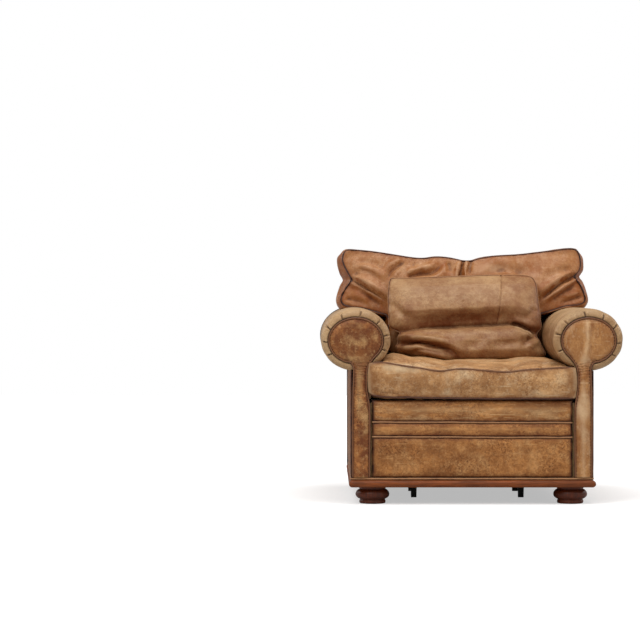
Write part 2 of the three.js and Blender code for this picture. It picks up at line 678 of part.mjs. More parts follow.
function seatCushion() {
  const y0 = frontY - seatCushionOverhang;
  const y1 = backFace(seatHeight) - 2;
  const lipBack = frontY - 3;
  const narrow = frontY - 0.5;
  const us = [-1, -0.92, -0.8, -0.62, -0.42, -0.3, -0.15, 0, 0.15, 0.3, 0.42, 0.62, 0.8, 0.92, 1];
  const ys = [y0, lipBack, narrow, ...spread(narrow, y1, 6).slice(1)];
  const half = (y) => (y <= lipBack ? seatCushionLip / 2 : armWallX - seatCushionFit);
  const back = (y) => (y - y0) / (y1 - y0);
  const puff = (u) => 1 - 0.3 * Math.exp(-(((Math.abs(u) - 0.3) / 0.08) ** 2));
  const lengthwise = (y) => smooth(0, 0.2, back(y)) * (1 - 0.3 * smooth(0.7, 1, back(y)));
  const crown = (u, y) => seatCushionCrown * (1 - u ** 8) * puff(u) * lengthwise(y);
  const corner = (u) => 20 * Math.abs(u) ** 3;
  const top = grid(us, ys, (u, y) => {
    const x = u * half(y);
    const z = seatCushionFoot + seatCushionBoxing + crown(u, y) + corner(u) * (1 - smooth(0, 0.3, back(y)));
    return [x, y, y <= lipBack ? z : Math.min(z, underRoll(Math.abs(x)) - 2)];
  });
  const base = grid(us, ys, (u, y) => [u * half(y), y, seatCushionFoot]);
  add('seat_cushion', slab(top, base, 4, 2.2), 'leather');
}

// Back cushion: boxed, T-shaped, leaning back, with ears on the rolls, pinched sides and a dip at its middle.
function backCushion() {
  const foot = seatCushionTop + 1;
  const waist = rollX - rollHalfWidth - 7;
  const lay = 3;
  const lowEdge = (x) => {
    const ax = Math.abs(x);
    if (ax < waist - 4) return foot;
    const share = Math.min(Math.max((rollX - ax) / (rollHalfWidth + lay), 0), 1);
    const overRoll = rollCentreHeight + (rollHalfHeight + lay) * Math.sqrt(1 - share * share);
    const [low, high] = backCushionEars;
    return Math.max(overRoll, low + (high - low) * Math.min((ax - waist) / (rollX - waist), 1));
  };
  const highEdge = (x) => {
    const share = Math.abs(x) / backCushionEar;
    return backCushionTop - 34 * (1 - share ** 2) - 14 * Math.exp(-((x / 38) ** 2));
  };
  const split = waist / backCushionEar;
  const step = 8 / backCushionEar;
  const earSteps = [0, 0.12, 0.25, 0.4, 0.55, 0.7, 0.85, 1];
  const us = [
    ...earSteps.map((t) => -1 + t * (1 - split)),
    ...spread(step - split, split - step, 8),
    ...earSteps.map((t) => split + t * (1 - split)),
  ];
  const vs = [0, 0.12, 0.3, 0.5, 0.7, 0.88, 1];
  const rearFace = (z) => backFace(z) - 1;
  const place = (u, v) => {
    const flat = u * backCushionEar;
    const pinch = 16 * Math.sin(Math.PI * v) ** 2 + 20 * v;
    const [z0, z1] = [lowEdge(flat), highEdge(flat)];
    return [flat - pinch * u ** 3, z0 + (z1 - z0) * v];
  };
  const crown = (u, v) => 30 * (1 - Math.abs(u) ** 5) * (1 - Math.abs(2 * v - 1) ** 3);
  const front = grid(us, vs, (u, v) => {
    const [x, z] = place(u, v);
    return [x, rearFace(z) - backCushionThickness - crown(u, v), z];
  });
  const rear = grid(us, vs, (u, v) => {
    const [x, z] = place(u, v);
    return [x, rearFace(z), z];
  });
  add('back_cushion', slab(front, rear, 4, 8), 'leather');
}

// Lumbar pillow: knife-edged, leaning on the back cushion, its lower third slumped forward over a crease.
function lumbarPillow() {
  const foot = seatCushionTop;
  const face = backFace(foot) - backCushionThickness;
  // The middle line from top to bottom, in Y and Z, as shares of the pillow's height.
  const spine = new THREE.CatmullRomCurve3([
    [0.057, 1], [-0.163, 0.759], [-0.255, 0.525], [-0.298, 0.355], [-0.39, 0.241], [-0.504, 0.142], [-0.511, 0.014],
  ].map(([y, z]) => new THREE.Vector3(0, face + y * pillowHeight, foot + z * pillowHeight)));
  const us = [-1, -0.93, -0.8, -0.6, -0.3, 0, 0.3, 0.6, 0.8, 0.93, 1];
  const vs = [0, 0.05, 0.15, 0.3, 0.45, 0.56, 0.62, 0.7, 0.8, 0.9, 0.97, 1];
  const fill = (u, v) => Math.sqrt(Math.max(0, (1 - u ** 4) * (1 - Math.abs(2 * v - 1) ** 3.2)));
  const crease = (v) => 1 - 0.42 * Math.exp(-(((v - 0.62) / 0.06) ** 2));
  const surface = (side) => (u, v) => {
    const point = spine.getPoint(v);
    const along = spine.getTangent(v);
    const thick = (side * pillowThickness * fill(u, v) * crease(v)) / 2 + side * 3;
    const width = (pillowWidth / 2) * (1 - 0.03 * Math.sin(Math.PI * v));
    return [u * width + pillowShift, point.y + along.z * thick, point.z - along.y * thick];
  };
  add('lumbar_pillow', slab(grid(us, vs, surface(1)), grid(us, vs, surface(-1))), 'leather');
}

plinthBoards();
feet();
centreSupports();
frame();
springs();
facings();
armCovers();
armPadding();
outsidePanels();
insideBack();
frontBorder();
decks();
seatCushion();
backCushion();
lumbarPillow();

// The origin is on the floor, under the middle of the chair's bounding box.
const bounds = new THREE.Box3().setFromObject(chair);
chair.position.y = -(bounds.min.y + bounds.max.y) / 2;

export default chair;
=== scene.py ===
"""A worn leather club chair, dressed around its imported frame. Metres, +Z up, the front faces -Y."""
import json
import math

import bmesh
import bpy
import numpy as np
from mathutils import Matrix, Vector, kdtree


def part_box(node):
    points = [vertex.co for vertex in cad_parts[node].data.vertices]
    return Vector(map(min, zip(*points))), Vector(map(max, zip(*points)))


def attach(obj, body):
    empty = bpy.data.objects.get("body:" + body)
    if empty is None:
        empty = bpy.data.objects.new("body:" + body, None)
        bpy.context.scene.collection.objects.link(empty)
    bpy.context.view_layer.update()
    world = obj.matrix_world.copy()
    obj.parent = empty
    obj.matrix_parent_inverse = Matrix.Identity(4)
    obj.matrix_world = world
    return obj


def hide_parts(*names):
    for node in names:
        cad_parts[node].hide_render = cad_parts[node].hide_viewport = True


bl_info = {
    "name": "Worn Club Chair",
    "version": (1, 0, 0),
    "blender": (4, 5, 0),
    "location": "3D View > Sidebar > Chair",
    "description": "Makes the upholstery, wood and stage of a worn leather club chair",
    "category": "Add Mesh",
}

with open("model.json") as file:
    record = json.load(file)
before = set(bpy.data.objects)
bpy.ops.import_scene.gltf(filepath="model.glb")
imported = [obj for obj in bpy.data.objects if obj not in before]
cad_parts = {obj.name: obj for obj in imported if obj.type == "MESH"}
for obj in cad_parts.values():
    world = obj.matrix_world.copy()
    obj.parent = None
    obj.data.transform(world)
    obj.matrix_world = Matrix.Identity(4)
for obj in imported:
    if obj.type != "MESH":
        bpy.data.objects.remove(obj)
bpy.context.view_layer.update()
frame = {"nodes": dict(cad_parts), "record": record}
SIDES = (("right", 1), ("left", -1))

# Places that several pieces share, read from the frame.
FACING_DEPTH = 0.006
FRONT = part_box("arm_facing_right")[1].y - FACING_DEPTH
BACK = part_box("outside_back")[1].y
SIDE_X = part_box("side_panel_right")[1].x
PLINTH_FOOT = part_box("plinth_front")[0].z
PLINTH_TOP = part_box("plinth_front")[1].z
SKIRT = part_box("side_panel_right")[0].z
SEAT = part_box("seat_deck")[1].z
ROLL_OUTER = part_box("arm_cover_right")[1].x
ROLL_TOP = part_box("arm_cover_right")[1].z
ROLL_HALF = (0.121, 0.108)
ROLL_X = ROLL_OUTER - ROLL_HALF[0]
ROLL_Z = ROLL_TOP - ROLL_HALF[1]
WALL_X = 0.353
DISC_HALF = (0.093, 0.078)
DISC_Z = ROLL_Z - 0.003
BACK_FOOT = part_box("inside_back")[0].y
# How far the back leans for each metre of height.
LEAN = 0.2
# Degrees from the outer side round to where a facing's disc meets its neck, and the roll meets its wall.
NECK_ANGLE = 225
WALL_ANGLE = 180 + math.degrees(math.acos((ROLL_X - WALL_X) / ROLL_HALF[0]))
# Where the upper back starts to round over, and how widely.
SHOULDER = 0.778
SHOULDER_ROUND = 0.042


# Numbers and noise


def ease(low, high, value):
    """A smooth step from 0 to 1 between low and high."""
    t = np.clip((np.asarray(value, float) - low) / (high - low), 0, 1)
    return t * t * (3 - 2 * t)


def bump(value, centre, width):
    """A bell that is 1 at the centre."""
    return np.exp(-(((np.asarray(value, float) - centre) / width) ** 2))


def spots(x, z, places):
    """Soft spots added up. Each has a strength, then its middle and its width in X, and the same in Z."""
    return sum(strength * bump(x, x0, wide) * bump(z, z0, tall) for strength, x0, wide, z0, tall in places)


def hashed(cells, seed):
    """A repeatable number from 0 to 1 for each lattice cell."""
    h = cells[..., 0] * 374761393 + cells[..., 1] * 668265263 + cells[..., 2] * 974634777 + seed * 127412617
    h = ((h ^ (h >> 13)) * 1274126177) & 0xFFFFFFFF
    return ((h ^ (h >> 16)) & 0xFFFF) / 0xFFFF


def noise(points, size, seed, octaves=3):
    """Smooth noise from -1 to 1 whose largest lumps are about size metres across."""
    total, weight, sum_of_weights = 0.0, 1.0, 0.0
    scaled = np.asarray(points, float) / size + seed * 3.7
    for octave in range(octaves):
        cell = np.floor(scaled).astype(np.int64)
        t = scaled - cell
        t = t * t * (3 - 2 * t)
        value = 0.0
        for corner in np.ndindex(2, 2, 2):
            share = np.prod(np.where(np.array(corner) == 1, t, 1 - t), axis=-1)
            value = value + share * hashed(cell + np.array(corner), seed + octave)
        total = total + weight * (2 * value - 1)
        sum_of_weights += weight
        scaled = scaled * 2.1
        weight *= 0.5
    return total / sum_of_weights


def spline(points, count):
    """Evenly spaced points on a smooth curve through the given ones."""
    knots = np.asarray(points, float)
    before, after = 2 * knots[0] - knots[1], 2 * knots[-1] - knots[-2]
    all_knots = np.vstack([before, knots, after])
    steps = np.maximum(np.linalg.norm(np.diff(all_knots, axis=0), axis=1) ** 0.5, 1e-6)
    times = np.concatenate([[0], np.cumsum(steps)])
    dense = []
    for i in range(1, len(all_knots) - 2):
        t0, t1, t2, t3 = times[i - 1 : i + 3]
        p0, p1, p2, p3 = all_knots[i - 1 : i + 3]
        t = np.linspace(t1, t2, 24, endpoint=False)[:, None]
        a1 = (t1 - t) / (t1 - t0) * p0 + (t - t0) / (t1 - t0) * p1
        a2 = (t2 - t) / (t2 - t1) * p1 + (t - t1) / (t2 - t1) * p2
        a3 = (t3 - t) / (t3 - t2) * p2 + (t - t2) / (t3 - t2) * p3
        b1 = (t2 - t) / (t2 - t0) * a1 + (t - t0) / (t2 - t0) * a2
        b2 = (t3 - t) / (t3 - t1) * a2 + (t - t1) / (t3 - t1) * a3
        dense.append((t2 - t) / (t2 - t1) * b1 + (t - t1) / (t2 - t1) * b2)
    dense = np.vstack(dense + [knots[-1:]])
    return even(dense, count)


def even(line, count):
    """The same line with count evenly spaced points."""
    lengths = np.concatenate([[0], np.cumsum(np.linalg.norm(np.diff(line, axis=0), axis=1))])
    at = np.linspace(0, lengths[-1], count)
    return np.stack([np.interp(at, lengths, line[:, k]) for k in range(line.shape[1])], axis=1)


def looped(line):
    """A closed line with its first point again at its end."""
    return np.vstack([line, line[:1]])


def even_loop(line, count):
    """The same closed line with count evenly spaced points."""
    return even(looped(line), count + 1)[:-1]


def smoothed(loop, rounds=4):
    """A closed line after its points are averaged with their neighbours."""
    for _ in range(rounds):
        loop = 0.5 * loop + 0.25 * (np.roll(loop, 1, axis=0) + np.roll(loop, -1, axis=0))
    return loop


def upright(line, y, sign=1):
    """A line given in X and Z, stood at one Y, and turned over for the left side."""
    return np.stack([line[:, 0] * sign, np.full(len(line), y), line[:, 1]], axis=1)


def edge_at(pairs, value):
    """A smooth outline given as (where, how far) pairs, read at some places."""
    line = spline(pairs, 200)
    order = np.argsort(line[:, 0])
    return np.interp(value, line[order, 0], line[order, 1])


# Meshes


def link(name, mesh, material):
    """A piece with smooth faces and one material, put into the scene."""
    piece = bpy.data.objects.new(name, mesh)
    bpy.context.scene.collection.objects.link(piece)
    mesh.materials.clear()
    mesh.materials.append(material)
    mesh.polygons.foreach_set("use_smooth", [True] * len(mesh.polygons))
    return piece


def make(name, points, faces, material):
    """A piece from its points and faces, with every face turned outwards."""
    mesh = bpy.data.meshes.new(name)
    mesh.from_pydata(np.asarray(points, float).tolist(), [], faces)
    turned = bmesh.new()
    turned.from_mesh(mesh)
    bmesh.ops.recalc_face_normals(turned, faces=turned.faces)
    turned.to_mesh(mesh)
    turned.free()
    return link(name, mesh, material)


def read(piece, kind):
    flat = np.empty(len(piece.data.vertices) * 3, np.float32)
    piece.data.vertices.foreach_get(kind, flat)
    return flat.reshape(-1, 3).astype(float)


def points_of(piece):
    return read(piece, "co")


def normals_of(piece):
    return read(piece, "normal")


def set_points(piece, points):
    piece.data.vertices.foreach_set("co", np.asarray(points, np.float32).ravel())
    piece.data.update()


def ringed(count, sides, closed=False):
    """The faces along a row of rings with so many sides each: a closed loop, or a bar with two ends."""
    faces = []
    for i in range(count if closed else count - 1):
        for j in range(sides):
            k, m = (i + 1) % count, (j + 1) % sides
            faces.append((i * sides + j, k * sides + j, k * sides + m, i * sides + m))
    if not closed:
        last = (count - 1) * sides
        faces += [tuple(range(sides)), tuple(range(last, last + sides))]
    return faces


def tube(name, line, radius, material, closed=False, sides=10, outward=(0, -1, 0)):
    """A round cord along a line. Its crest, painted pale as wear and as a highlight, faces outward."""
    line = np.asarray(line, float)
    ahead = np.roll(line, -1, axis=0) - np.roll(line, 1, axis=0)
    if not closed:
        ahead[0], ahead[-1] = line[1] - line[0], line[-1] - line[-2]
    ahead /= np.linalg.norm(ahead, axis=1)[:, None]
    out = np.broadcast_to(np.asarray(outward, float), line.shape)
    out = out - (out * ahead).sum(1)[:, None] * ahead
    out /= np.maximum(np.linalg.norm(out, axis=1)[:, None], 1e-9)
    across = np.cross(ahead, out)
    angles = np.arange(sides) * 2 * math.pi / sides
    ring = line[:, None] + radius * (
        np.cos(angles)[None, :, None] * out[:, None] + np.sin(angles)[None, :, None] * across[:, None]
    )
    piece = make(name, ring.reshape(-1, 3), ringed(len(line), sides, closed), material)
    mark(piece, "crest", np.tile(np.cos(angles), len(line)))
    return piece


def padded(name, inside, front, back, rows, bulge, material):
    """A closed panel or cushion on a lattice: inside says which cells it has, front and back where its points
    are, and bulge how far the boxing swells. Returns the piece and the point numbers of its two seams."""
    nu, nv = inside.shape
    ids = {}
    points, faces = [], []

    def point(side, i, j):
        key = (side, i, j)
        if key not in ids:
            ids[key] = len(points)
            points.append((front if side == 0 else back)[i, j])
        return ids[key]

    following = {}
    for i in range(nu):
        for j in range(nv):
            if not inside[i, j]:
                continue
            ring = [(i, j), (i + 1, j), (i + 1, j + 1), (i, j + 1)]
            faces.append(tuple(point(0, *c) for c in ring))
            faces.append(tuple(point(1, *c) for c in reversed(ring)))
            beside = [(i, j - 1), (i + 1, j), (i, j + 1), (i - 1, j)]
            for k, (p, q) in enumerate(beside):
                if not (0 <= p < nu and 0 <= q < nv and inside[p, q]):
                    following[ring[k]] = ring[(k + 1) % 4]
    loop = [next(iter(following))]
    while following[loop[-1]] != loop[0]:
        loop.append(following[loop[-1]])
    near = np.array([front[c] for c in loop])
    far = np.array([back[c] for c in loop])
    along = np.roll(near, -1, axis=0) - np.roll(near, 1, axis=0)
    out = np.cross(along, far - near)
    out /= np.maximum(np.linalg.norm(out, axis=1)[:, None], 1e-9)
    widest = np.argmax(near[:, 0])
    if out[widest, 0] < 0:
        out = -out
    swell = out * np.broadcast_to(bulge(near) if callable(bulge) else bulge, len(loop))[:, None]
    columns = [[point(0, *c)] for c in loop]
    for r in range(1, rows):
        share = r / rows
        ring = near + (far - near) * share + swell * math.sin(math.pi * share)
        for k, place in enumerate(ring):
            columns[k].append(len(points))
            points.append(place)
    for k, c in enumerate(loop):
        columns[k].append(point(1, *c))
    for k, column in enumerate(columns):
        beside = columns[(k + 1) % len(columns)]
        for r in range(rows):
            faces.append((column[r], column[r + 1], beside[r + 1], beside[r]))
    piece = make(name, points, faces, material)
    return piece, [c[0] for c in columns], [c[-1] for c in columns]


def mark(piece, name, values):
    """Stores a number for each point, which a material reads by its name."""
    layer = piece.data.attributes.get(name) or piece.data.attributes.new(name, "FLOAT", "POINT")
    layer.data.foreach_set("value", np.asarray(values, np.float32))


def blurred(piece, points, rounds):
    """The points after being averaged with their neighbours a number of times."""
    ends = np.empty(len(piece.data.edges) * 2, np.int32)
    piece.data.edges.foreach_get("vertices", ends)
    a, b = ends.reshape(-1, 2).T
    count = np.bincount(a, minlength=len(points)) + np.bincount(b, minlength=len(points))
    for _ in range(rounds):
        summed = np.stack([
            np.bincount(a, points[b, k], len(points)) + np.bincount(b, points[a, k], len(points))
            for k in range(3)
        ], axis=1)
        points = 0.5 * points + 0.5 * summed / np.maximum(count, 1)[:, None]
    return points


def mark_wear(piece, seams=None, seam_width=0.004, tone=None, reach=0.014):
    """Marks hollows, darkened as dirt and as painted shade, ridges, which rub pale, the stain beside seams,
    and a tone from -1 to 1, which paints wear and also light and shade."""
    points, normals = points_of(piece), normals_of(piece)
    fine = ((blurred(piece, points, 4) - points) * normals).sum(1)
    broad = ((blurred(piece, points, 30) - points) * normals).sum(1)
    mark(piece, "hollow", ease(0.0002, 0.0014, fine) * 0.7 + ease(0.0008, 0.006, broad) * 0.8)
    mark(piece, "ridge", ease(0.0004, 0.0018, -fine) * 0.4 + ease(0.0012, 0.007, -broad) * 0.8)
    if seams is not None:
        away = distance_to(points, seams)
        mark(piece, "seam", np.exp(-((away / seam_width) ** 2)))
        mark(piece, "stain", np.exp(-away / reach))
    if tone is not None:
        mark(piece, "tone", tone(points))


def distance_to(points, lines):
    """How far each point is from the nearest of the lines."""
    samples = np.vstack([even(np.asarray(line, float), max(int(len(line) * 4), 60)) for line in lines])
    tree = kdtree.KDTree(len(samples))
    for k, place in enumerate(samples):
        tree.insert(place, k)
    tree.balance()
    return np.array([tree.find(p)[2] for p in points])


def closeness(points, lines, width):
    """1 on the lines, falling to 0 a few widths away."""
    return np.exp(-((distance_to(points, lines) / width) ** 2))


def creased(piece, line, width, depth, lip=0.35, side=0, spread=1.7, ends=(0.2, 0.45)):
    """Presses a fold along a line given in X and Z into what faces the front. It widens as it goes, dies away
    at both ends, and swells into a lip on one side (1 or -1) or on both (0)."""
    points, normals = points_of(piece), normals_of(piece)
    path = spline(line, 90)
    flat = points[:, (0, 2)]
    margin = 6 * width * spread
    near = normals[:, 1] < -0.1
    near &= (flat > path.min(0) - margin).all(1) & (flat < path.max(0) + margin).all(1)
    difference = flat[near][:, None] - path[None]
    distance = np.linalg.norm(difference, axis=2)
    which = distance.argmin(1)
    along = which / (len(path) - 1)
    ahead = np.gradient(path, axis=0)[which]
    offset = flat[near] - path[which]
    signed = np.sign(ahead[:, 0] * offset[:, 1] - ahead[:, 1] * offset[:, 0]) * distance.min(1)
    wide = width * (1 + (spread - 1) * along)
    strength = ease(0, ends[0], along) * ease(0, ends[1], 1 - along)
    amount = -np.exp(-((signed / wide) ** 2))
    for way in (1, -1):
        if side in (0, way):
            amount = amount + lip * np.exp(-(((signed * way - 1.9 * wide) / (1.2 * wide)) ** 2))
    points[near] += normals[near] * (amount * strength * depth)[:, None]
    set_points(piece, points)


def ruffled(piece, amount, size, seed, where=1.0, octaves=3):
    """Moves the surface in and out by smooth noise."""
    points, normals = points_of(piece), normals_of(piece)
    shift = noise(points, size, seed, octaves) * amount * where
    set_points(piece, points + normals * np.asarray(shift)[:, None])


def inflated(piece, held, pressure, slack, cap, frames=20, freely=1.0):
    """Fills a cushion with a cloth simulation, its held points fixed. Each point stays within cap of its
    start."""
    scene = bpy.context.scene
    before = points_of(piece)
    group = piece.vertex_groups.new(name="held")
    group.add([int(k) for k in held], 1.0, "REPLACE")
    cloth = piece.modifiers.new("filling", "CLOTH")
    hide = cloth.settings
    hide.quality = 6
    hide.mass = 0.35
    hide.tension_stiffness = 25
    hide.compression_stiffness = 25
    hide.shear_stiffness = 12
    hide.bending_stiffness = 3
    hide.air_damping = 3
    hide.use_pressure = True
    hide.uniform_pressure_force = pressure
    hide.shrink_min = -slack
    hide.vertex_group_mass = "held"
    hide.effector_weights.gravity = 0
    cloth.point_cache.frame_start = 1
    cloth.point_cache.frame_end = frames
    for number in range(1, frames + 1):
        scene.frame_set(number)
    solved = piece.evaluated_get(bpy.context.evaluated_depsgraph_get()).data
    after = np.empty(len(before) * 3, np.float32)
    solved.vertices.foreach_get("co", after)
    move = after.reshape(-1, 3) - before
    length = np.maximum(np.linalg.norm(move, axis=1), 1e-9)
    piece.modifiers.remove(cloth)
    piece.vertex_groups.remove(group)
    share = np.minimum(length, cap) / length * freely
    set_points(piece, before + move * share[:, None])
    scene.frame_set(1)


def subdivided(piece):
    """The piece with each face divided once and rounded. Its first points keep their numbers."""
    rounding = piece.modifiers.new("rounding", "SUBSURF")
    rounding.levels = rounding.render_levels = 1
    graph = bpy.context.evaluated_depsgraph_get()
    mesh = bpy.data.meshes.new_from_object(piece.evaluated_get(graph))
    piece.modifiers.remove(rounding)
    old = piece.data
    piece.data = mesh
    mesh.name = piece.name
    bpy.data.meshes.remove(old)


def placed(piece, slot, *nodes):
    """The piece rides on the chair and stands for some nodes, which are hidden. Its slot is not used."""
    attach(piece, "root")
    if nodes:
        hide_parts(*nodes)
    return piece


# Materials


def linear(code):
    """A colour written as sRGB hex, turned to linear."""
    parts = [int(code[k : k + 2], 16) / 255 for k in (1, 3, 5)]
    return tuple(c / 12.92 if c <= 0.04045 else ((c + 0.055) / 1.055) ** 2.4 for c in parts)


def add(tree, kind, inputs=None, **settings):
    """Adds a node with its settings. An input takes a number, a colour or another node's output."""
    node = tree.nodes.new(kind)
    for name, value in settings.items():
        setattr(node, name, value)
    for name, value in (inputs or {}).items():
        socket = node.inputs[name]
        if isinstance(value, bpy.types.NodeSocket):
            tree.links.new(value, socket)
        elif isinstance(value, tuple) and len(value) == 3 and socket.type == "RGBA":
            socket.default_value = (*value, 1)
        else:
            socket.default_value = value
    return node


def fresh(name):
    """A new material with an empty node tree, and the object's own coordinates in it."""
    material = bpy.data.materials.new(name)
    material.use_nodes = True
    tree = material.node_tree
    tree.nodes.clear()
    return material, tree, add(tree, "ShaderNodeTexCoord").outputs["Object"]


def finished(tree, color, roughness, height, distance, inputs):
    """The surface: a principled shader with its bump, and the output."""
    relief = add(tree, "ShaderNodeBump", {"Height": height, "Distance": distance, "Strength": 1.0})
    skin = add(tree, "ShaderNodeBsdfPrincipled", {
        "Base Color": color, "Roughness": roughness, "Normal": relief.outputs[0], **inputs,
    })
    add(tree, "ShaderNodeOutputMaterial", {"Surface": skin.outputs[0]})


def mask(tree, source, low, high, start=0.0, end=1.0):
    """Goes smoothly from start to end where its source goes from low to high. The source is a mark on the
    piece's points, a noise given by its place, scale, detail and roughness, or another node's output."""
    if isinstance(source, str):
        source = add(tree, "ShaderNodeAttribute", attribute_name=source).outputs["Fac"]
    elif isinstance(source, tuple):
        place, scale, detail, rough = source
        source = add(tree, "ShaderNodeTexNoise", {
            "Vector": place, "Scale": scale, "Detail": detail, "Roughness": rough,
        }).outputs["Fac"]
    return add(tree, "ShaderNodeMapRange", {
        "Value": source, "From Min": low, "From Max": high, "To Min": start, "To Max": end,
    }, interpolation_type="SMOOTHSTEP").outputs[0]


def shaded(tree, color, where, share, shade):
    """A colour with a shade, given as hex, laid over it where a mask says and as strongly as its share."""
    amount = add(tree, "ShaderNodeMath", {0: where, 1: share}, operation="MULTIPLY").outputs[0]
    return add(tree, "ShaderNodeMix", {0: amount, 6: color, 7: linear(shade)}, data_type="RGBA").outputs[2]


def summed(tree, value, *parts):
    """A value with others added to it, each times its weight."""
    for part, weight in parts:
        value = add(tree, "ShaderNodeMath", {0: part, 1: weight, 2: value},
                    operation="MULTIPLY_ADD").outputs[0]
    return value


def worn_leather(name, hide, dark, pale, mottle, speckle, scuffs, gloss, seed, streak=(1, 1, 1)):
    """Aniline-dyed cowhide, waxed and rubbed for decades: darker in creases, from dirt and painted shade, and
    at seams, pale on worn crests, with mottling, specks, scratches and fine cracks, and light and shade
    painted by each piece's tone."""
    material, tree, place = fresh(name)
    moved = add(tree, "ShaderNodeMapping", {
        "Vector": place, "Location": (seed, seed * 0.7, seed * 1.3),
    }).outputs[0]
    drawn_out = add(tree, "ShaderNodeMapping", {
        "Vector": moved, "Location": (3.1, 1.7, 5.3), "Scale": streak,
    }).outputs[0]
    color = linear(hide)
    # Blotches of dye about 140 mm across, smaller ones of 25 mm, and places rubbed pale of 80 mm and 14 mm.
    patch = mask(tree, (drawn_out, 40, 6, 0.7), 0.40, 0.62)
    for blotch, share, shade in (
        (mask(tree, (moved, 7, 5, 0.6), 0.40, 0.63), 0.75, dark),
        (patch, 0.6, dark),
        (mask(tree, (drawn_out, 12, 6, 0.65), 0.48, 0.70), 0.7, pale),
        (mask(tree, (drawn_out, 70, 4, 0.7), 0.52, 0.68), 0.4, pale),
    ):
        color = shaded(tree, color, blotch, share * mottle, shade)
    # Mottled grain of 8 mm, and specks and pinholes of 4 mm, thicker where the dye is darker.
    thick = mask(tree, (moved, 9, 3, 0.5), 0.36, 0.62, 0.35, 1.0)
    grain = mask(tree, (moved, 125, 5, 0.75), 0.42, 0.64, 0.0, thick)
    color = shaded(tree, color, grain, 0.75 * speckle, dark)
    speck = mask(tree, (moved, 230, 3, 0.6), 0.58, 0.67, 0.0, thick)
    color = shaded(tree, color, speck, 0.75 * speckle, "#3C1F10")
    # Cracks in the finish: cells of about 14 mm, drawn coarser than the real 3 mm so that they show.
    bent = add(tree, "ShaderNodeTexNoise", {"Vector": moved, "Scale": 30.0, "Detail": 3.0})
    warped = add(tree, "ShaderNodeMix", {
        0: 0.035, 4: moved, 5: bent.outputs["Color"],
    }, data_type="VECTOR").outputs[1]
    cell = add(tree, "ShaderNodeTexVoronoi", {"Vector": warped, "Scale": 72.0}, feature="DISTANCE_TO_EDGE")
    crazed = mask(tree, (moved, 7.5, 3, 0.5), 0.47, 0.62)
    crack = mask(tree, cell.outputs["Distance"], 0.0, 0.055, crazed, 0.0)
    color = shaded(tree, color, crack, 0.3, "#4A2815")
    # Scratches, pale and long, in two directions.
    for turn, at in ((0.5, 11.0), (-0.9, 23.0)):
        drawn = add(tree, "ShaderNodeMapping", {
            "Vector": moved, "Location": (at, at, at), "Rotation": (0.3, turn, 0.2), "Scale": (9.0, 120.0,
                                                                                               120.0),
        }).outputs[0]
        scraped = mask(tree, (moved, 5, 2, 0.5), 0.46, 0.58)
        scratch = mask(tree, (drawn, 1.0, 2, 0.4), 0.655, 0.70, 0.0, scraped)
        color = shaded(tree, color, scratch, scuffs, pale)
    # The tone each piece is given: lighter above 0 and darker below, partly wear and grease, partly painted
    # light and shade. Then pale worn crests, dirt and painted shade in hollows, the reddish stain beside each
    # seam, and the dark line beside each seam, which also paints shade into the rolls' pleats and the bands'
    # ends. All have ragged edges.
    ragged = mask(tree, (moved, 28, 6, 0.7), 0.32, 0.66, 0.45, 1.0)
    hollow = add(tree, "ShaderNodeAttribute", attribute_name="hollow").outputs["Fac"]
    worn = mask(tree, "ridge", 0.05, 1.0, 0.0, ragged)
    for where, share, shade in (
        (mask(tree, "tone", 0.02, 1.0, 0.0, ragged), 0.85, pale),
        (mask(tree, "tone", -0.02, -1.0, 0.0, ragged), 0.9, dark),
        (worn, 0.4, pale),
        (mask(tree, "stain", 0.06, 0.9, 0.0, ragged), 0.85, "#6A3113"),
        (mask(tree, hollow, 0.05, 1.2, 0.0, ragged), 0.7, "#4A2412"),
        (mask(tree, "seam", 0.1, 0.9, 0.0, ragged), 0.95, "#2A1209"),
    ):
        color = shaded(tree, color, where, share, shade)
    # Pebbled grain of 2.5 mm, drawn coarser than the real 0.8 mm so that it shows.
    pebble = add(tree, "ShaderNodeTexVoronoi", {"Vector": warped, "Scale": 400.0}).outputs["Distance"]
    height = summed(tree, 0.0, (pebble, 0.25), (patch, 0.5), (crack, -0.45), (speck, -0.3))
    rough = summed(tree, gloss, (patch, 0.12), (hollow, 0.12), (worn, -0.06))
    finished(tree, color, rough, height, 0.0007, {"IOR": 1.45, "Specular IOR Level": 0.3})
    return material


def piping_leather(name, crest, flank):
    """A strip of the same hide sewn round a cord: pale along its crest, partly wear and partly a painted
    highlight, and nearly black down its flanks, which is painted shade.
    """
    material, tree, place = fresh(name)
    top = add(tree, "ShaderNodeAttribute", attribute_name="crest").outputs["Fac"]
    fleck = add(tree, "ShaderNodeTexNoise", {
        "Vector": place, "Scale": 38.0, "Detail": 5.0, "Roughness": 0.7,
    }).outputs["Fac"]
    # Pale where the crest faces out, partly wear and partly a painted highlight; the dark flanks are painted
    # shade.
    wear_and_highlight = mask(tree, summed(tree, top, (fleck, 0.8)), 0.85, 1.35)
    color = shaded(tree, linear(flank), wear_and_highlight, 1.0, crest)
    height = add(tree, "ShaderNodeTexNoise", {"Vector": place, "Scale": 420.0, "Detail": 2.0}).outputs["Fac"]
    rough = mask(tree, fleck, 0.3, 0.7, 0.42, 0.6)
    finished(tree, color, rough, height, 0.0006, {"IOR": 1.45, "Specular IOR Level": 0.4})
    return material


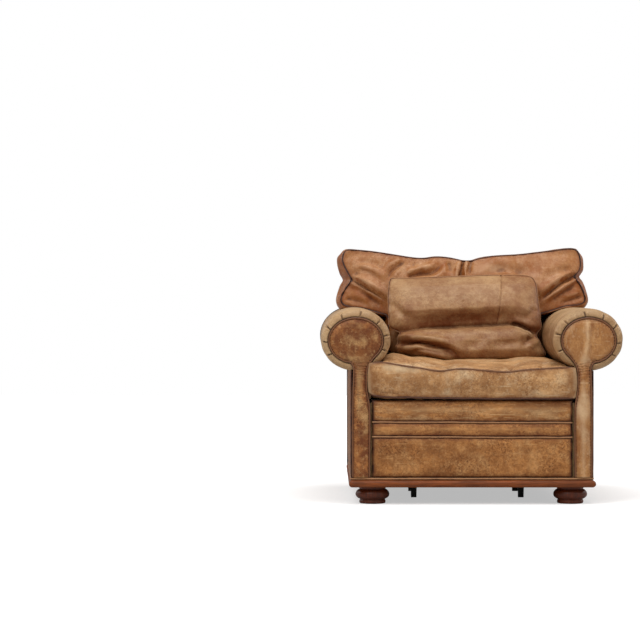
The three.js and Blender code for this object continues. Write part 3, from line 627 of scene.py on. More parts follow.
def stained_wood(name, light, dark, along, roughness, coat):
    """Stained and French-polished beech: fine pores along the board under a clear coat, dulled and nicked by
    use."""
    material, tree, place = fresh(name)
    # Grain lines 4 mm apart, stretched along the board.
    squeeze = tuple(14.0 if axis == along else 240.0 for axis in "XYZ")
    drawn = add(tree, "ShaderNodeMapping", {"Vector": place, "Scale": squeeze}).outputs[0]
    grain = add(tree, "ShaderNodeTexNoise", {
        "Vector": drawn, "Scale": 1.0, "Detail": 5.0, "Roughness": 0.6,
    }).outputs["Fac"]
    cloud = add(tree, "ShaderNodeTexNoise", {"Vector": place, "Scale": 14.0, "Detail": 4.0}).outputs["Fac"]
    nick = mask(tree, (place, 110.0, 2.0, 0.5), 0.76, 0.80)
    color = shaded(tree, linear(light), mask(tree, grain, 0.3, 0.7), 0.7, dark)
    color = shaded(tree, color, mask(tree, cloud, 0.4, 0.7), 0.45, dark)
    color = shaded(tree, color, nick, 0.5, "#A8744A")
    rough = mask(tree, cloud, 0.3, 0.7, roughness - 0.06, roughness + 0.12)
    finished(tree, color, rough, summed(tree, grain, (nick, -2.0)), 0.0002, {
        "IOR": 1.5, "Specular IOR Level": 0.32, "Coat Weight": coat, "Coat Roughness": 0.22,
    })
    return material


def sawn_beech(name):
    """Plain sawn beech of the hidden frame: pale, dry, with short dark pores."""
    material, tree, place = fresh(name)
    drawn = add(tree, "ShaderNodeMapping", {"Vector": place, "Scale": (30.0, 30.0, 9.0)}).outputs[0]
    grain = add(tree, "ShaderNodeTexNoise", {
        "Vector": drawn, "Scale": 4.0, "Detail": 6.0, "Roughness": 0.65,
    }).outputs["Fac"]
    color = shaded(tree, linear("#C9A878"), mask(tree, grain, 0.35, 0.68), 1.0, "#A9855A")
    finished(tree, color, 0.75, grain, 0.0004, {"IOR": 1.5})
    return material


def black_paint(name):
    """Oil paint brushed on wood: nearly black, dull, with brush lines."""
    material, tree, place = fresh(name)
    drawn = add(tree, "ShaderNodeMapping", {"Vector": place, "Scale": (400.0, 400.0, 25.0)}).outputs[0]
    lines = add(tree, "ShaderNodeTexNoise", {"Vector": drawn, "Scale": 1.0, "Detail": 3.0}).outputs["Fac"]
    color = shaded(tree, linear("#14110F"), mask(tree, lines, 0.3, 0.8), 1.0, "#2A241F")
    finished(tree, color, 0.5, lines, 0.0002, {"IOR": 1.5})
    return material


def spring_steel(name):
    """Drawn steel wire, oiled: grey with brown rust freckles."""
    material, tree, place = fresh(name)
    rust = add(tree, "ShaderNodeTexNoise", {
        "Vector": place, "Scale": 45.0, "Detail": 6.0, "Roughness": 0.7,
    }).outputs["Fac"]
    color = shaded(tree, linear("#8C8E90"), mask(tree, rust, 0.5, 0.66), 1.0, "#5A3A26")
    finished(tree, color, mask(tree, rust, 0.5, 0.66, 0.35, 0.8), rust, 0.0002, {"Metallic": 1.0})
    return material


def woven_cloth(name, thread, shade, spacing):
    """Plain-woven cotton cloth: over-and-under threads, matt, with a dusty bloom."""
    material, tree, place = fresh(name)
    # A wave repeats every pi / (10 * scale) metres, so this scale gives the thread spacing.
    scale = math.pi / (10 * spacing)
    warp, weft = (add(tree, "ShaderNodeTexWave", {
        "Vector": place, "Scale": scale, "Distortion": 0.4,
    }, bands_direction=way).outputs["Fac"] for way in "XY")
    weave = add(tree, "ShaderNodeMath", {0: warp, 1: weft}, operation="MULTIPLY").outputs[0]
    color = shaded(tree, linear(shade), weave, 1.0, thread)
    color = shaded(tree, color, mask(tree, (place, 12.0, 6.0, 0.5), 0.45, 0.8), 0.35, "#6B6258")
    finished(tree, color, 0.95, weave, 0.0005, {"Sheen Weight": 0.2})
    return material


# What a user may change


class ChairColours(bpy.types.PropertyGroup):
    """Hex colours of the hides and woods."""

    rolls: bpy.props.StringProperty(
        name="Arm rolls", description="Pale tan hide of the rolls", default="#B8946A")
    seat: bpy.props.StringProperty(
        name="Seat cushion", description="Tan hide of the seat cushion", default="#CE9E6A")
    border: bpy.props.StringProperty(
        name="Front border", description="Hide of the three front bands", default="#BC8046")
    back: bpy.props.StringProperty(
        name="Back cushion", description="Warm hide of the back cushion", default="#A9764A")
    pillow: bpy.props.StringProperty(
        name="Lumbar pillow", description="Hide of the lumbar pillow", default="#A98158")
    outside: bpy.props.StringProperty(
        name="Outside panels", description="Hide of the sides and back", default="#A57247")
    # The piping's crest colour: partly worn hide, partly a painted highlight.
    piping: bpy.props.StringProperty(
        name="Piping", description="Worn crest of the piping", default="#A4754E")
    plinth: bpy.props.StringProperty(
        name="Plinth", description="Stained wood of the plinth", default="#8C4510")
    feet: bpy.props.StringProperty(
        name="Feet", description="Dark wood of the bun feet", default="#662A0C")


class ChairSizes(bpy.types.PropertyGroup):
    """Sizes of the upholsterer's details."""

    piping: bpy.props.FloatProperty(
        name="Piping radius", description="Radius of the sewn piping", default=0.0038, unit="LENGTH")
    pleat: bpy.props.FloatProperty(
        name="Pleat depth", description="Depth of the pleats round each roll", default=0.0060, unit="LENGTH")
    filling: bpy.props.FloatProperty(
        name="Filling", description="Pressure that stands for the feather filling", default=4.0, min=0,
        max=20)
    slack: bpy.props.FloatProperty(
        name="Slack", description="Share by which the hides have stretched", default=0.010, subtype="FACTOR")
    wrinkle: bpy.props.FloatProperty(
        name="Wrinkles", description="Depth of the soft wrinkles in the hides", default=0.0020, unit="LENGTH")


class ChairStage(bpy.types.PropertyGroup):
    """Light and floor."""

    sky: bpy.props.FloatProperty(
        name="Sky light", description="Strength of the even light", default=0.34, min=0)
    key: bpy.props.FloatProperty(
        name="Key light", description="Power of the large lamp", default=85, unit="POWER")
    floor: bpy.props.FloatVectorProperty(
        name="Floor", description="Colour of the floor", default=(0.62, 0.61, 0.60), subtype="COLOR", size=3)


# The stage


class CHAIR_OT_stage(bpy.types.Operator):
    """Sets the camera, the floor, the backdrop and the lights"""

    bl_idname = "chair.stage"
    bl_label = "Stage"

    def execute(self, context):
        scene = context.scene
        scene.view_settings.view_transform = "Standard"
        lens = bpy.data.cameras.new("camera")
        lens.sensor_width = 36.0
        lens.lens = 154.2
        lens.shift_y = -0.053
        lens.clip_end = 100
        eye = bpy.data.objects.new("camera", lens)
        eye.location = (-0.528, -9.959, 0.757)
        eye.rotation_euler = (math.pi / 2, 0, 0)
        scene.collection.objects.link(eye)
        scene.camera = eye
        stage = scene.chair_stage

        world = bpy.data.worlds.new("studio")
        scene.world = world
        world.use_nodes = True
        tree = world.node_tree
        tree.nodes.clear()
        path = add(tree, "ShaderNodeLightPath")
        plain = add(tree, "ShaderNodeBackground", {"Color": (1, 1, 1), "Strength": stage.sky})
        white = add(tree, "ShaderNodeBackground", {"Color": (1, 1, 1), "Strength": 1.0})
        seen = add(tree, "ShaderNodeMixShader", {
            0: path.outputs["Is Camera Ray"], 1: plain.outputs[0], 2: white.outputs[0],
        })
        add(tree, "ShaderNodeOutputWorld", {"Surface": seen.outputs[0]})

        # The floor is lifted to white where it is seen, more so away from the chair, and keeps its shadow.
        material, tree, place = fresh("pale_floor")
        path = add(tree, "ShaderNodeLightPath")
        away = add(tree, "ShaderNodeVectorMath", {0: place}, operation="LENGTH").outputs["Value"]
        matt = add(tree, "ShaderNodeBsdfDiffuse", {"Color": tuple(stage.floor)})
        glow = add(tree, "ShaderNodeEmission", {
            "Color": (1, 1, 1), "Strength": mask(tree, away, 0.5, 1.7, 0.47, 1.0),
        })
        lit = add(tree, "ShaderNodeAddShader", {0: matt.outputs[0], 1: glow.outputs[0]})
        seen = add(tree, "ShaderNodeMixShader", {
            0: path.outputs["Is Camera Ray"], 1: matt.outputs[0], 2: lit.outputs[0],
        })
        add(tree, "ShaderNodeOutputMaterial", {"Surface": seen.outputs[0]})
        reach = 9.0
        corners = [(-reach, -reach, 0), (reach, -reach, 0), (reach, reach, 0), (-reach, reach, 0)]
        floor = make("floor", corners, [(0, 1, 2, 3)], material)

        lamps = (
            ("key_lamp", (-2.0, -3.4, 3.4), 2.2, stage.key),
            ("top_lamp", (0.2, -0.9, 4.2), 2.8, stage.key * 1.15),
            ("fill_lamp", (3.4, -2.6, 2.2), 2.4, stage.key * 0.38),
            ("rim_lamp_left", (-3.4, 1.6, 2.2), 1.8, stage.key * 0.45),
            ("rim_lamp_right", (3.4, 1.6, 2.2), 1.8, stage.key * 0.45),
        )
        for name, place, size, power in lamps:
            lamp = bpy.data.lights.new(name, "AREA")
            lamp.shape = "DISK"
            lamp.size = size
            lamp.energy = power
            holder = bpy.data.objects.new(name, lamp)
            holder.location = place
            aim = Vector((0, 0, 0.45)) - holder.location
            holder.rotation_euler = aim.to_track_quat("-Z", "Y").to_euler()
            scene.collection.objects.link(holder)
        return {"FINISHED"}


# Wood


def board(name, length, turn, centre, material):
    """One mitred plinth board with a rounded outer edge. Its own axes are across, along and up."""
    thick, wide = PLINTH_TOP - PLINTH_FOOT, 0.106
    round_ = thick / 2
    soft, joint = 0.0012, 0.00015
    profile = [(round_ - round_ * math.cos(a), round_ * math.sin(a))
               for a in np.linspace(-math.pi / 2, math.pi / 2, 17)]
    profile += [(wide - soft, round_), (wide, round_ - soft), (wide, -round_ + soft), (wide - soft, -round_)]
    stations = np.linspace(-1, 1, 41)
    points = np.array([(across, s * (length / 2 - joint - across),
                        up) for s in stations for across, up in profile])
    worn = noise(points, 0.05, 4, 2) * 0.0005
    points[:, 2] += worn * (points[:, 2] > 0)
    c, s = math.cos(turn), math.sin(turn)
    rotated = np.stack([
        points[:, 0] * c - points[:, 1] * s + centre[0],
        points[:, 0] * s + points[:, 1] * c + centre[1],
        points[:, 2] + (PLINTH_FOOT + PLINTH_TOP) / 2,
    ], axis=1)
    piece = make(name, rotated, ringed(len(stations), len(profile)), material)
    sharp = piece.modifiers.new("ends", "EDGE_SPLIT")
    sharp.split_angle = math.radians(40)
    return piece


class CHAIR_OT_wood(bpy.types.Operator):
    """Makes the moulded plinth, the bun feet and the middle legs"""

    bl_idname = "chair.wood"
    bl_label = "Plinth and feet"

    def execute(self, context):
        colours = context.scene.chair_colours
        low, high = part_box("plinth_front")[0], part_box("plinth_back")[1]
        middle = (low.y + high.y) / 2
        across = stained_wood("plinth_stain_across", colours.plinth, "#4A2208", "X", 0.55, 0.03)
        along = stained_wood("plinth_stain_along", colours.plinth, "#4A2208", "Y", 0.55, 0.03)
        x, y = high.x, (high.y - low.y) / 2
        for name, length, turn, centre, material in (
            ("front", 2 * x, math.pi / 2, (0, middle - y), across),
            ("back", 2 * x, -math.pi / 2, (0, middle + y), across),
            ("right", 2 * y, math.pi, (x, middle), along),
            ("left", 2 * y, 0, (-x, middle), along),
        ):
            piece = board(f"plinth_board_{name}", length, turn, centre, material)
            placed(piece, "plinth_wood", f"plinth_{name}")
        foot_wood = stained_wood("polished_foot_wood", colours.feet, "#240C04", "Z", 0.45, 0.05)
        collar = 0.0465
        profile = spline([
            (0.0415, 0.0), (0.0445, 0.0012), (0.0455, 0.004), (0.0455, 0.0105), (0.0435, 0.0135), (0.0445,
                                                                                                   0.0155),
            (0.0505, 0.0185), (0.0568, 0.0245), (0.059, 0.0325), (0.0568, 0.0405), (0.0505, 0.0475),
            (0.0455, 0.0505), (collar, 0.0535), (collar, 0.0587),
        ], 60)
        bolt = [(0.004, 0.0588), (0.004, 0.1208)]
        rings = [(0.0004, 0.0)] + [tuple(p) for p in profile] + bolt + [(0.0004, 0.121)]
        turns = 64
        angles = np.arange(turns) * 2 * math.pi / turns
        paint = black_paint("brushed_black_paint")
        for side, _ in SIDES:
            for where in ("front", "rear"):
                node = f"foot_{where}_{side}"
                low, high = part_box(node)
                cx, cy = (low.x + high.x) / 2, (low.y + high.y) / 2
                points = [(cx + r * math.cos(a), cy + r * math.sin(a), z) for r, z in rings for a in angles]
                piece = make(f"bun_{where}_{side}", points, ringed(len(rings), turns), foot_wood)
                placed(piece, "turned_wood", node)
        for side, _ in SIDES:
            for where in ("front", "rear"):
                node = f"centre_leg_{where}_{side}"
                leg = link(f"middle_leg_{where}_{side}", frame["nodes"][node].data.copy(), paint)
                leg.data.polygons.foreach_set("use_smooth", [False] * len(leg.data.polygons))
                edge = leg.modifiers.new("edge", "BEVEL")
                edge.width = 0.0012
                edge.segments = 2
                placed(leg, "black_wood", node)
        return {"FINISHED"}


# Arms


def disc_point(angle, grow=0.0):
    a, b = DISC_HALF[0] + grow, DISC_HALF[1] + grow
    return np.array([ROLL_X + a * math.cos(math.radians(angle)), DISC_Z + b * math.sin(math.radians(angle))])


def facing_line(count):
    """The middle of the piping round the right facing, in X and Z."""
    inner_x = WALL_X + 0.004
    neck_x = inner_x + 0.009
    foot = DISC_Z - DISC_HALF[1]
    inner = [
        (inner_x, SKIRT), (inner_x, SEAT - 0.026), (inner_x + 0.004, SEAT + 0.002),
        (neck_x, SEAT + 0.034), (neck_x, foot - 0.031), (neck_x - 0.006, foot - 0.007),
    ]
    arc = [disc_point(a) for a in np.linspace(NECK_ANGLE, -80, 21)]
    stem, neck = inner_x + 0.057, neck_x + 0.045
    outer = [(neck, foot - 0.016), (neck, foot - 0.040), (stem, SEAT - 0.020), (stem, SKIRT)]
    return spline([*inner, *arc, *outer], count)


# Height, tilt, width and depth of each wrinkle across the neck of a facing.
NECK_WRINKLES = (
    (0.489, 0.0030, 0.0020, 0.0018), (0.479, -0.0020, 0.0018, 0.0026), (0.470, 0.0015, 0.0016, 0.0024),
    (0.461, 0.0030, 0.0018, 0.0030), (0.449, -0.0010, 0.0022, 0.0024), (0.433, 0.0020, 0.0026, 0.0016),
)


class CHAIR_OT_facings(bpy.types.Operator):
    """Makes the keyhole-shaped arm facings and their piping"""

    bl_idname = "chair.facings"
    bl_label = "Arm facings"

    def execute(self, context):
        sizes = context.scene.chair_sizes
        colours = context.scene.chair_colours
        cord = piping_leather("facing_piping", "#764A2C", "#1E0D07")
        hides = {
            "left": worn_leather("facing_hide_dark", "#BE7E44", "#5E2C10", "#D2A870", 1.0, 1.2, 0.2, 0.46,
                                 2.0),
            "right": worn_leather("facing_hide_light", "#B78450", "#804A20", "#D2B088", 0.7, 0.65, 0.3,
                                  0.42, 7.0, (1.5, 1.5, 0.7)),
        }
        line = facing_line(240)
        ahead = np.gradient(line, axis=0)
        ahead /= np.linalg.norm(ahead, axis=1)[:, None]
        inward = np.stack([ahead[:, 1], -ahead[:, 0]], axis=1)
        edge = line + inward * (sizes.piping * 0.8)
        top = edge[:, 1].argmax()
        levels = np.unique(np.round(np.concatenate([edge[:top, 1], edge[top:, 1]]), 4))
        levels = np.unique(np.concatenate([levels, np.linspace(SEAT + 0.05, SEAT + 0.142, 75)]))
        levels = levels[(levels > SKIRT + 0.0005) & (levels < edge[top, 1] - 0.0004)]
        keep = [levels[0]]
        for z in levels:
            if z - keep[-1] > 0.0011:
                keep.append(z)
        levels = np.array([SKIRT] + keep)
        left = np.interp(levels, np.maximum.accumulate(edge[:top, 1]), edge[:top, 0])
        right = np.interp(levels, np.maximum.accumulate(edge[top:, 1][::-1]), edge[top:, 0][::-1])
        us = np.sin(np.linspace(-math.pi / 2, math.pi / 2, 37)) * 0.35 + np.linspace(-1, 1, 37) * 0.65
        xs = (left + right)[:, None] / 2 + (right - left)[:, None] / 2 * us[None]
        zs = np.broadcast_to(levels[:, None], xs.shape)
        flat = np.stack([xs, zs], axis=2).reshape(-1, 2)
        away = np.min(np.linalg.norm(flat[:, None] - edge[None, ::2], axis=2), axis=1).reshape(xs.shape)
        stem_x = WALL_X + 0.032
        fold_x = WALL_X + 0.047
        for side, sign in SIDES:
            spots_at = np.stack([xs * sign, np.zeros_like(xs), zs], axis=2)
            rise = 0.0078 * (1 - np.exp(-away / 0.007)) - 0.0035
            rise += 0.003 * ease(0.492, 0.505, zs) * (1 - np.exp(-away / 0.03))
            rise += noise(spots_at, 0.05, 3 + sign, 3) * 0.0012 * ease(0, 0.01, away)
            # The hide is drawn together where the disc runs down into the stem, and folds rise from there.
            throat = 0.4955 + 0.004 * np.sin(us * 2.2)[None]
            rise -= 0.0018 * bump(zs, throat, 0.003) * (away > 0.001) * ease(0, 0.5, us)
            length = 0.645 if side == "right" else 0.555
            drift = stem_x + (fold_x - stem_x) * ease(0.46, 0.56, zs)
            up = ease(0.47, 0.51, zs) * (1 - ease(length - 0.06, length, zs))
            rise += 0.0034 * up * bump(xs, drift, 0.010) - 0.0016 * up * bump(xs, drift + 0.020, 0.010)
            rise -= 0.0010 * up * bump(xs, drift - 0.019, 0.009)
            for z, tilt, sharp, deep in NECK_WRINKLES:
                curve = z + sign * tilt * us[None] + 0.006 * noise(spots_at, 0.025, 9, 2)
                patchy = ease(-0.4, 0.5, noise(spots_at, 0.02, round(z * 1000), 2))
                fades = ease(0, 0.006, away) * (0.35 + 0.5 * patchy)
                rise -= deep * bump(zs, curve, sharp) * fades
                rise += 0.5 * deep * bump(zs, curve + 2.1 * sharp, 1.3 * sharp) * fades
            rise += 0.0018 * bump(zs, 0.385, 0.03) * ease(0, 0.012, away)
            front = np.stack([xs * sign, FRONT - rise, zs], axis=2)
            back = np.stack([xs * sign, np.full_like(xs, FRONT + FACING_DEPTH - 0.0005), zs], axis=2)
            inside = np.ones((len(levels) - 1, xs.shape[1] - 1), bool)
            piece, _, _ = padded(f"facing_{side}", inside, front, back, 2, 0.0, hides[side])
            rim = upright(line, FRONT + 0.002, sign)

            def tone(points):
                x, z = points[:, 0] * sign, points[:, 2]
                stem = 1 - ease(0.46, 0.49, z)
                if side == "left":
                    value = -0.75 * bump(x, 0.405, 0.055) * ease(0.54, 0.60, z) + 0.35 * bump(z, 0.50, 0.02)
                    value = value + stem * 0.5 * bump(x, stem_x + 0.006, 0.016) * ease(0.24, 0.36, z)
                    value = value - stem * 0.9 * bump(x, stem_x - 0.021, 0.010) * bump(z, 0.425, 0.04)
                    return value - stem * 0.7 * bump(x, stem_x - 0.002, 0.012) * bump(z, 0.235, 0.08)
                # On the right facing: a painted highlight along the crest of the fold, painted shade beside
                # it on both sides and in a band just under the neck, and paler patches down the stem.
                above = ease(0.47, 0.5, z) * (1 - ease(0.62, 0.645, z))
                nearer = ease(0.56, 0.50, z)
                value = 0.8 * above * bump(x, fold_x - 0.002 - 0.012 * nearer, 0.008 + 0.006 * nearer)
                value = value - spots(x, z, (
                    (0.8, fold_x + 0.017, 0.011, 0.622, 0.022), (0.5, fold_x - 0.022, 0.012, 0.57, 0.06),
                ))
                value = value + stem * (0.7 * bump(z, 0.335, 0.045) - 0.8 * bump(z, 0.455, 0.02))
                return value + stem * 0.5 * bump(x, stem_x, 0.01)

            mark_wear(piece, [rim], 0.0045, tone, 0.008)
            placed(piece, "leather_facings", f"arm_facing_{side}")
            waver = noise(rim, 0.03, 5, 2)[:, None] * np.array([0.0004, 0.0003, 0.0004])
            cord_line = rim + waver + np.array([0, 0.0006, 0])
            round_cord = tube(f"facing_piping_{side}", cord_line, sizes.piping, cord)
            placed(round_cord, "piping", f"arm_welt_{side}")
        return {"FINISHED"}


def arm_section(share, angles, wall):
    """The arm's outline at the piping (share 0) or at its full size (share 1), from the foot of its wall
    round the roll to its underside."""
    grow = 0.0065
    corner = np.array([WALL_X, DISC_Z - DISC_HALF[1] - 0.008])
    start_disc = disc_point(NECK_ANGLE, grow)
    out = []
    for turned in angles:
        way = np.array([math.cos(math.radians(turned)), math.sin(math.radians(turned))])
        full = np.array([ROLL_X, ROLL_Z]) + np.array(ROLL_HALF) * way
        small = disc_point(max(turned, -76), grow)
        if turned > NECK_ANGLE:
            small = start_disc + (corner - start_disc) * (turned - NECK_ANGLE) / (WALL_ANGLE - NECK_ANGLE)
        out.append(small + (full - small) * share)
    top = ROLL_Z + ROLL_HALF[1] * math.sin(math.radians(WALL_ANGLE))
    foot = SEAT + 0.005
    wall_line = [(WALL_X, foot + (top - foot) * k / wall) for k in range(wall)]
    return np.array(wall_line + out)


# Degrees from the outer side round to each pleat.
PLEATS = (202, 169, 137, 98, 61, 27, -5, -33)


class CHAIR_OT_rolls(bpy.types.Operator):
    """Makes the two roll arms, drawn in over the facing in radial pleats"""

    bl_idname = "chair.rolls"
    bl_label = "Roll arms"

    def execute(self, context):
        sizes = context.scene.chair_sizes
        colours = context.scene.chair_colours
        hide = worn_leather("roll_hide", colours.rolls, "#6E4826", "#D2B68E", 0.45, 0.5, 0.35, 0.44, 5.0,
                            (0.7, 0.5, 0.7))
        angles = np.linspace(WALL_ANGLE, -82, 264)
        wall, closing = 14, 7
        inner_end = BACK - 0.0045
        shoulder = 0.034
        tucked = [(-0.02, 0.006)]
        rounds = [(math.sin(t * math.pi / 2), 0.002 + shoulder * (1 - math.cos(t * math.pi / 2)))
                  for t in np.linspace(0, 1, 22)]
        length = inner_end - FRONT
        barrel = [(1.0, y) for y in np.linspace(0.002 + shoulder, length, 74)[1:]]
        stations = tucked + rounds + barrel
        pleats = np.array(PLEATS)
        for side, sign in SIDES:
            shift = noise(np.stack([pleats, pleats, pleats], 1) * 0.1, 1.0, 8 + sign, 1) * 3
            reaches = 0.62 + 0.16 * noise(np.stack([pleats, pleats, pleats], 1) * 0.1, 1.0, 18 + sign, 1)
            rings, nicks = [], []
            for share, depth in stations:
                ring = arm_section(max(share, 0.0), angles, wall)
                y = np.full(len(ring), FRONT + depth)
                if share < 0:
                    centre = np.array([ROLL_X, DISC_Z])
                    ring = ring + (centre - ring) * 0.02
                turn = np.concatenate([np.full(wall, 300.0), angles])
                t = math.asin(min(max(share, 0), 1)) / (math.pi / 2)
                # Each pleat is a short nick that hooks a little as it leaves the piping.
                offset = turn[:, None] - (pleats + shift)[None] - 2.5 * t
                beyond = max(depth - shoulder, 0.0)
                nick = ease(-0.05, 0.05, t) * (1 - ease(0.75, 1.1, t / reaches)) * (share < 1)
                groove = (np.exp(-((offset / (1.35 + 1.1 * t)) ** 2)) * nick).max(1)
                lip = (np.exp(-(((offset - 3.4) / 2.2) ** 2)) * nick).max(1)
                puff = np.clip(np.abs(offset).min(1) / 16.5, 0, 1)
                keen = math.sin(math.pi * min(t, 1) * 0.75) if share < 1 else 0.7 * math.exp(-beyond / 0.03)
                belly = (1 - (1 - puff) ** 2 - 0.55) * keen * 0.0016
                lift = -groove * sizes.pleat + lip * sizes.pleat * 0.25 + belly
                lift[:wall] = 0
                lift *= np.concatenate([np.zeros(wall), ease(WALL_ANGLE, WALL_ANGLE - 18, angles)])
                centre = np.array([ROLL_X, ROLL_Z])
                outward = ring - centre
                outward /= np.linalg.norm(outward, axis=1)[:, None]
                lean = math.cos(t * math.pi / 2) * 0.8
                ring = ring + outward * (lift * math.sqrt(1 - lean**2 * 0.7))[:, None]
                y = y - lift * lean
                ring = np.stack([ring[:, 0] * sign, y, ring[:, 1]], axis=1)
                soft = noise(ring, 0.11, 11 + sign, 3) * 0.0030 * ease(0.01, 0.08, depth)
                soft *= ease(0, 0.03, inner_end - FRONT - depth + 0.004)
                ring[:, (0, 2)] += outward * soft[:, None] * np.array([sign, 1])
                # The outline is closed along the underside and up behind the wall.
                foot, end, thick = ring[0], ring[-1], 0.007
                under = np.array([foot[0] + sign * thick, end[1], end[2] - 0.002])
                low = np.array([foot[0] + sign * thick, foot[1], foot[2]])
                rings.append(np.vstack([
                    ring, np.linspace(end, under, closing + 1)[1:], np.linspace(under, low, closing + 1)[1:],
                ]))
                nicks.append(np.concatenate([groove, np.zeros(2 * closing)]))
            points = np.array(rings).reshape(-1, 3)
            piece = make(f"roll_{side}", points, ringed(len(rings), len(rings[0])), hide)
            rim = upright(facing_line(200), FRONT + 0.003, sign)

            def tone(points):
                # The inner flanks, behind the front, are darker, and the top is paler.
                x, y, z = points[:, 0] * sign, points[:, 1], points[:, 2]
                inner = ease(ROLL_X - 0.02, ROLL_X - 0.10, x) * ease(ROLL_Z + 0.09, ROLL_Z, z)
                top = ease(ROLL_Z + 0.05, ROLL_Z + 0.11, z) * 0.35
                return top - 1.2 * inner * ease(FRONT + 0.02, FRONT + 0.06, y)

            mark_wear(piece, [rim], 0.0050, tone, 0.006)
            # The seam mark also darkens each pleat's groove: painted shade.
            mark(piece, "seam", np.maximum(closeness(points, [rim], 0.005), np.ravel(nicks) * 0.8))
            placed(piece, "leather_rolls", f"arm_cover_{side}", f"arm_padding_{side}")
        return {"FINISHED"}


# Panels


def panel(name, nu, nv, place, depth, crown, material, seed, wave, taper):
    """A padded panel. place(u, v) gives its flat face and the way out, for u and v from 0 to 1."""
    us, vs = np.linspace(0, 1, nu + 1), np.linspace(0, 1, nv + 1)
    face, out = place(us[:, None], vs[None])
    span_u = np.linalg.norm(face[-1, nv // 2] - face[0, nv // 2])
    span_v = np.linalg.norm(face[nu // 2, -1] - face[nu // 2, 0])
    edge_u = np.minimum(us, 1 - us)[:, None] * span_u
    edge_v = np.minimum(vs, 1 - vs)[None] * span_v
    rise = crown * (1 - np.exp(-edge_u / taper)) * (1 - np.exp(-edge_v / taper))
    rise = rise + noise(face, 0.12, seed, 3) * wave * np.minimum(rise / max(crown, 1e-6), 1)
    front = face + out * rise[..., None]
    back = face - out * depth
    return padded(name, np.ones((nu, nv), bool), front, back, 2, 0.0, material)[0]


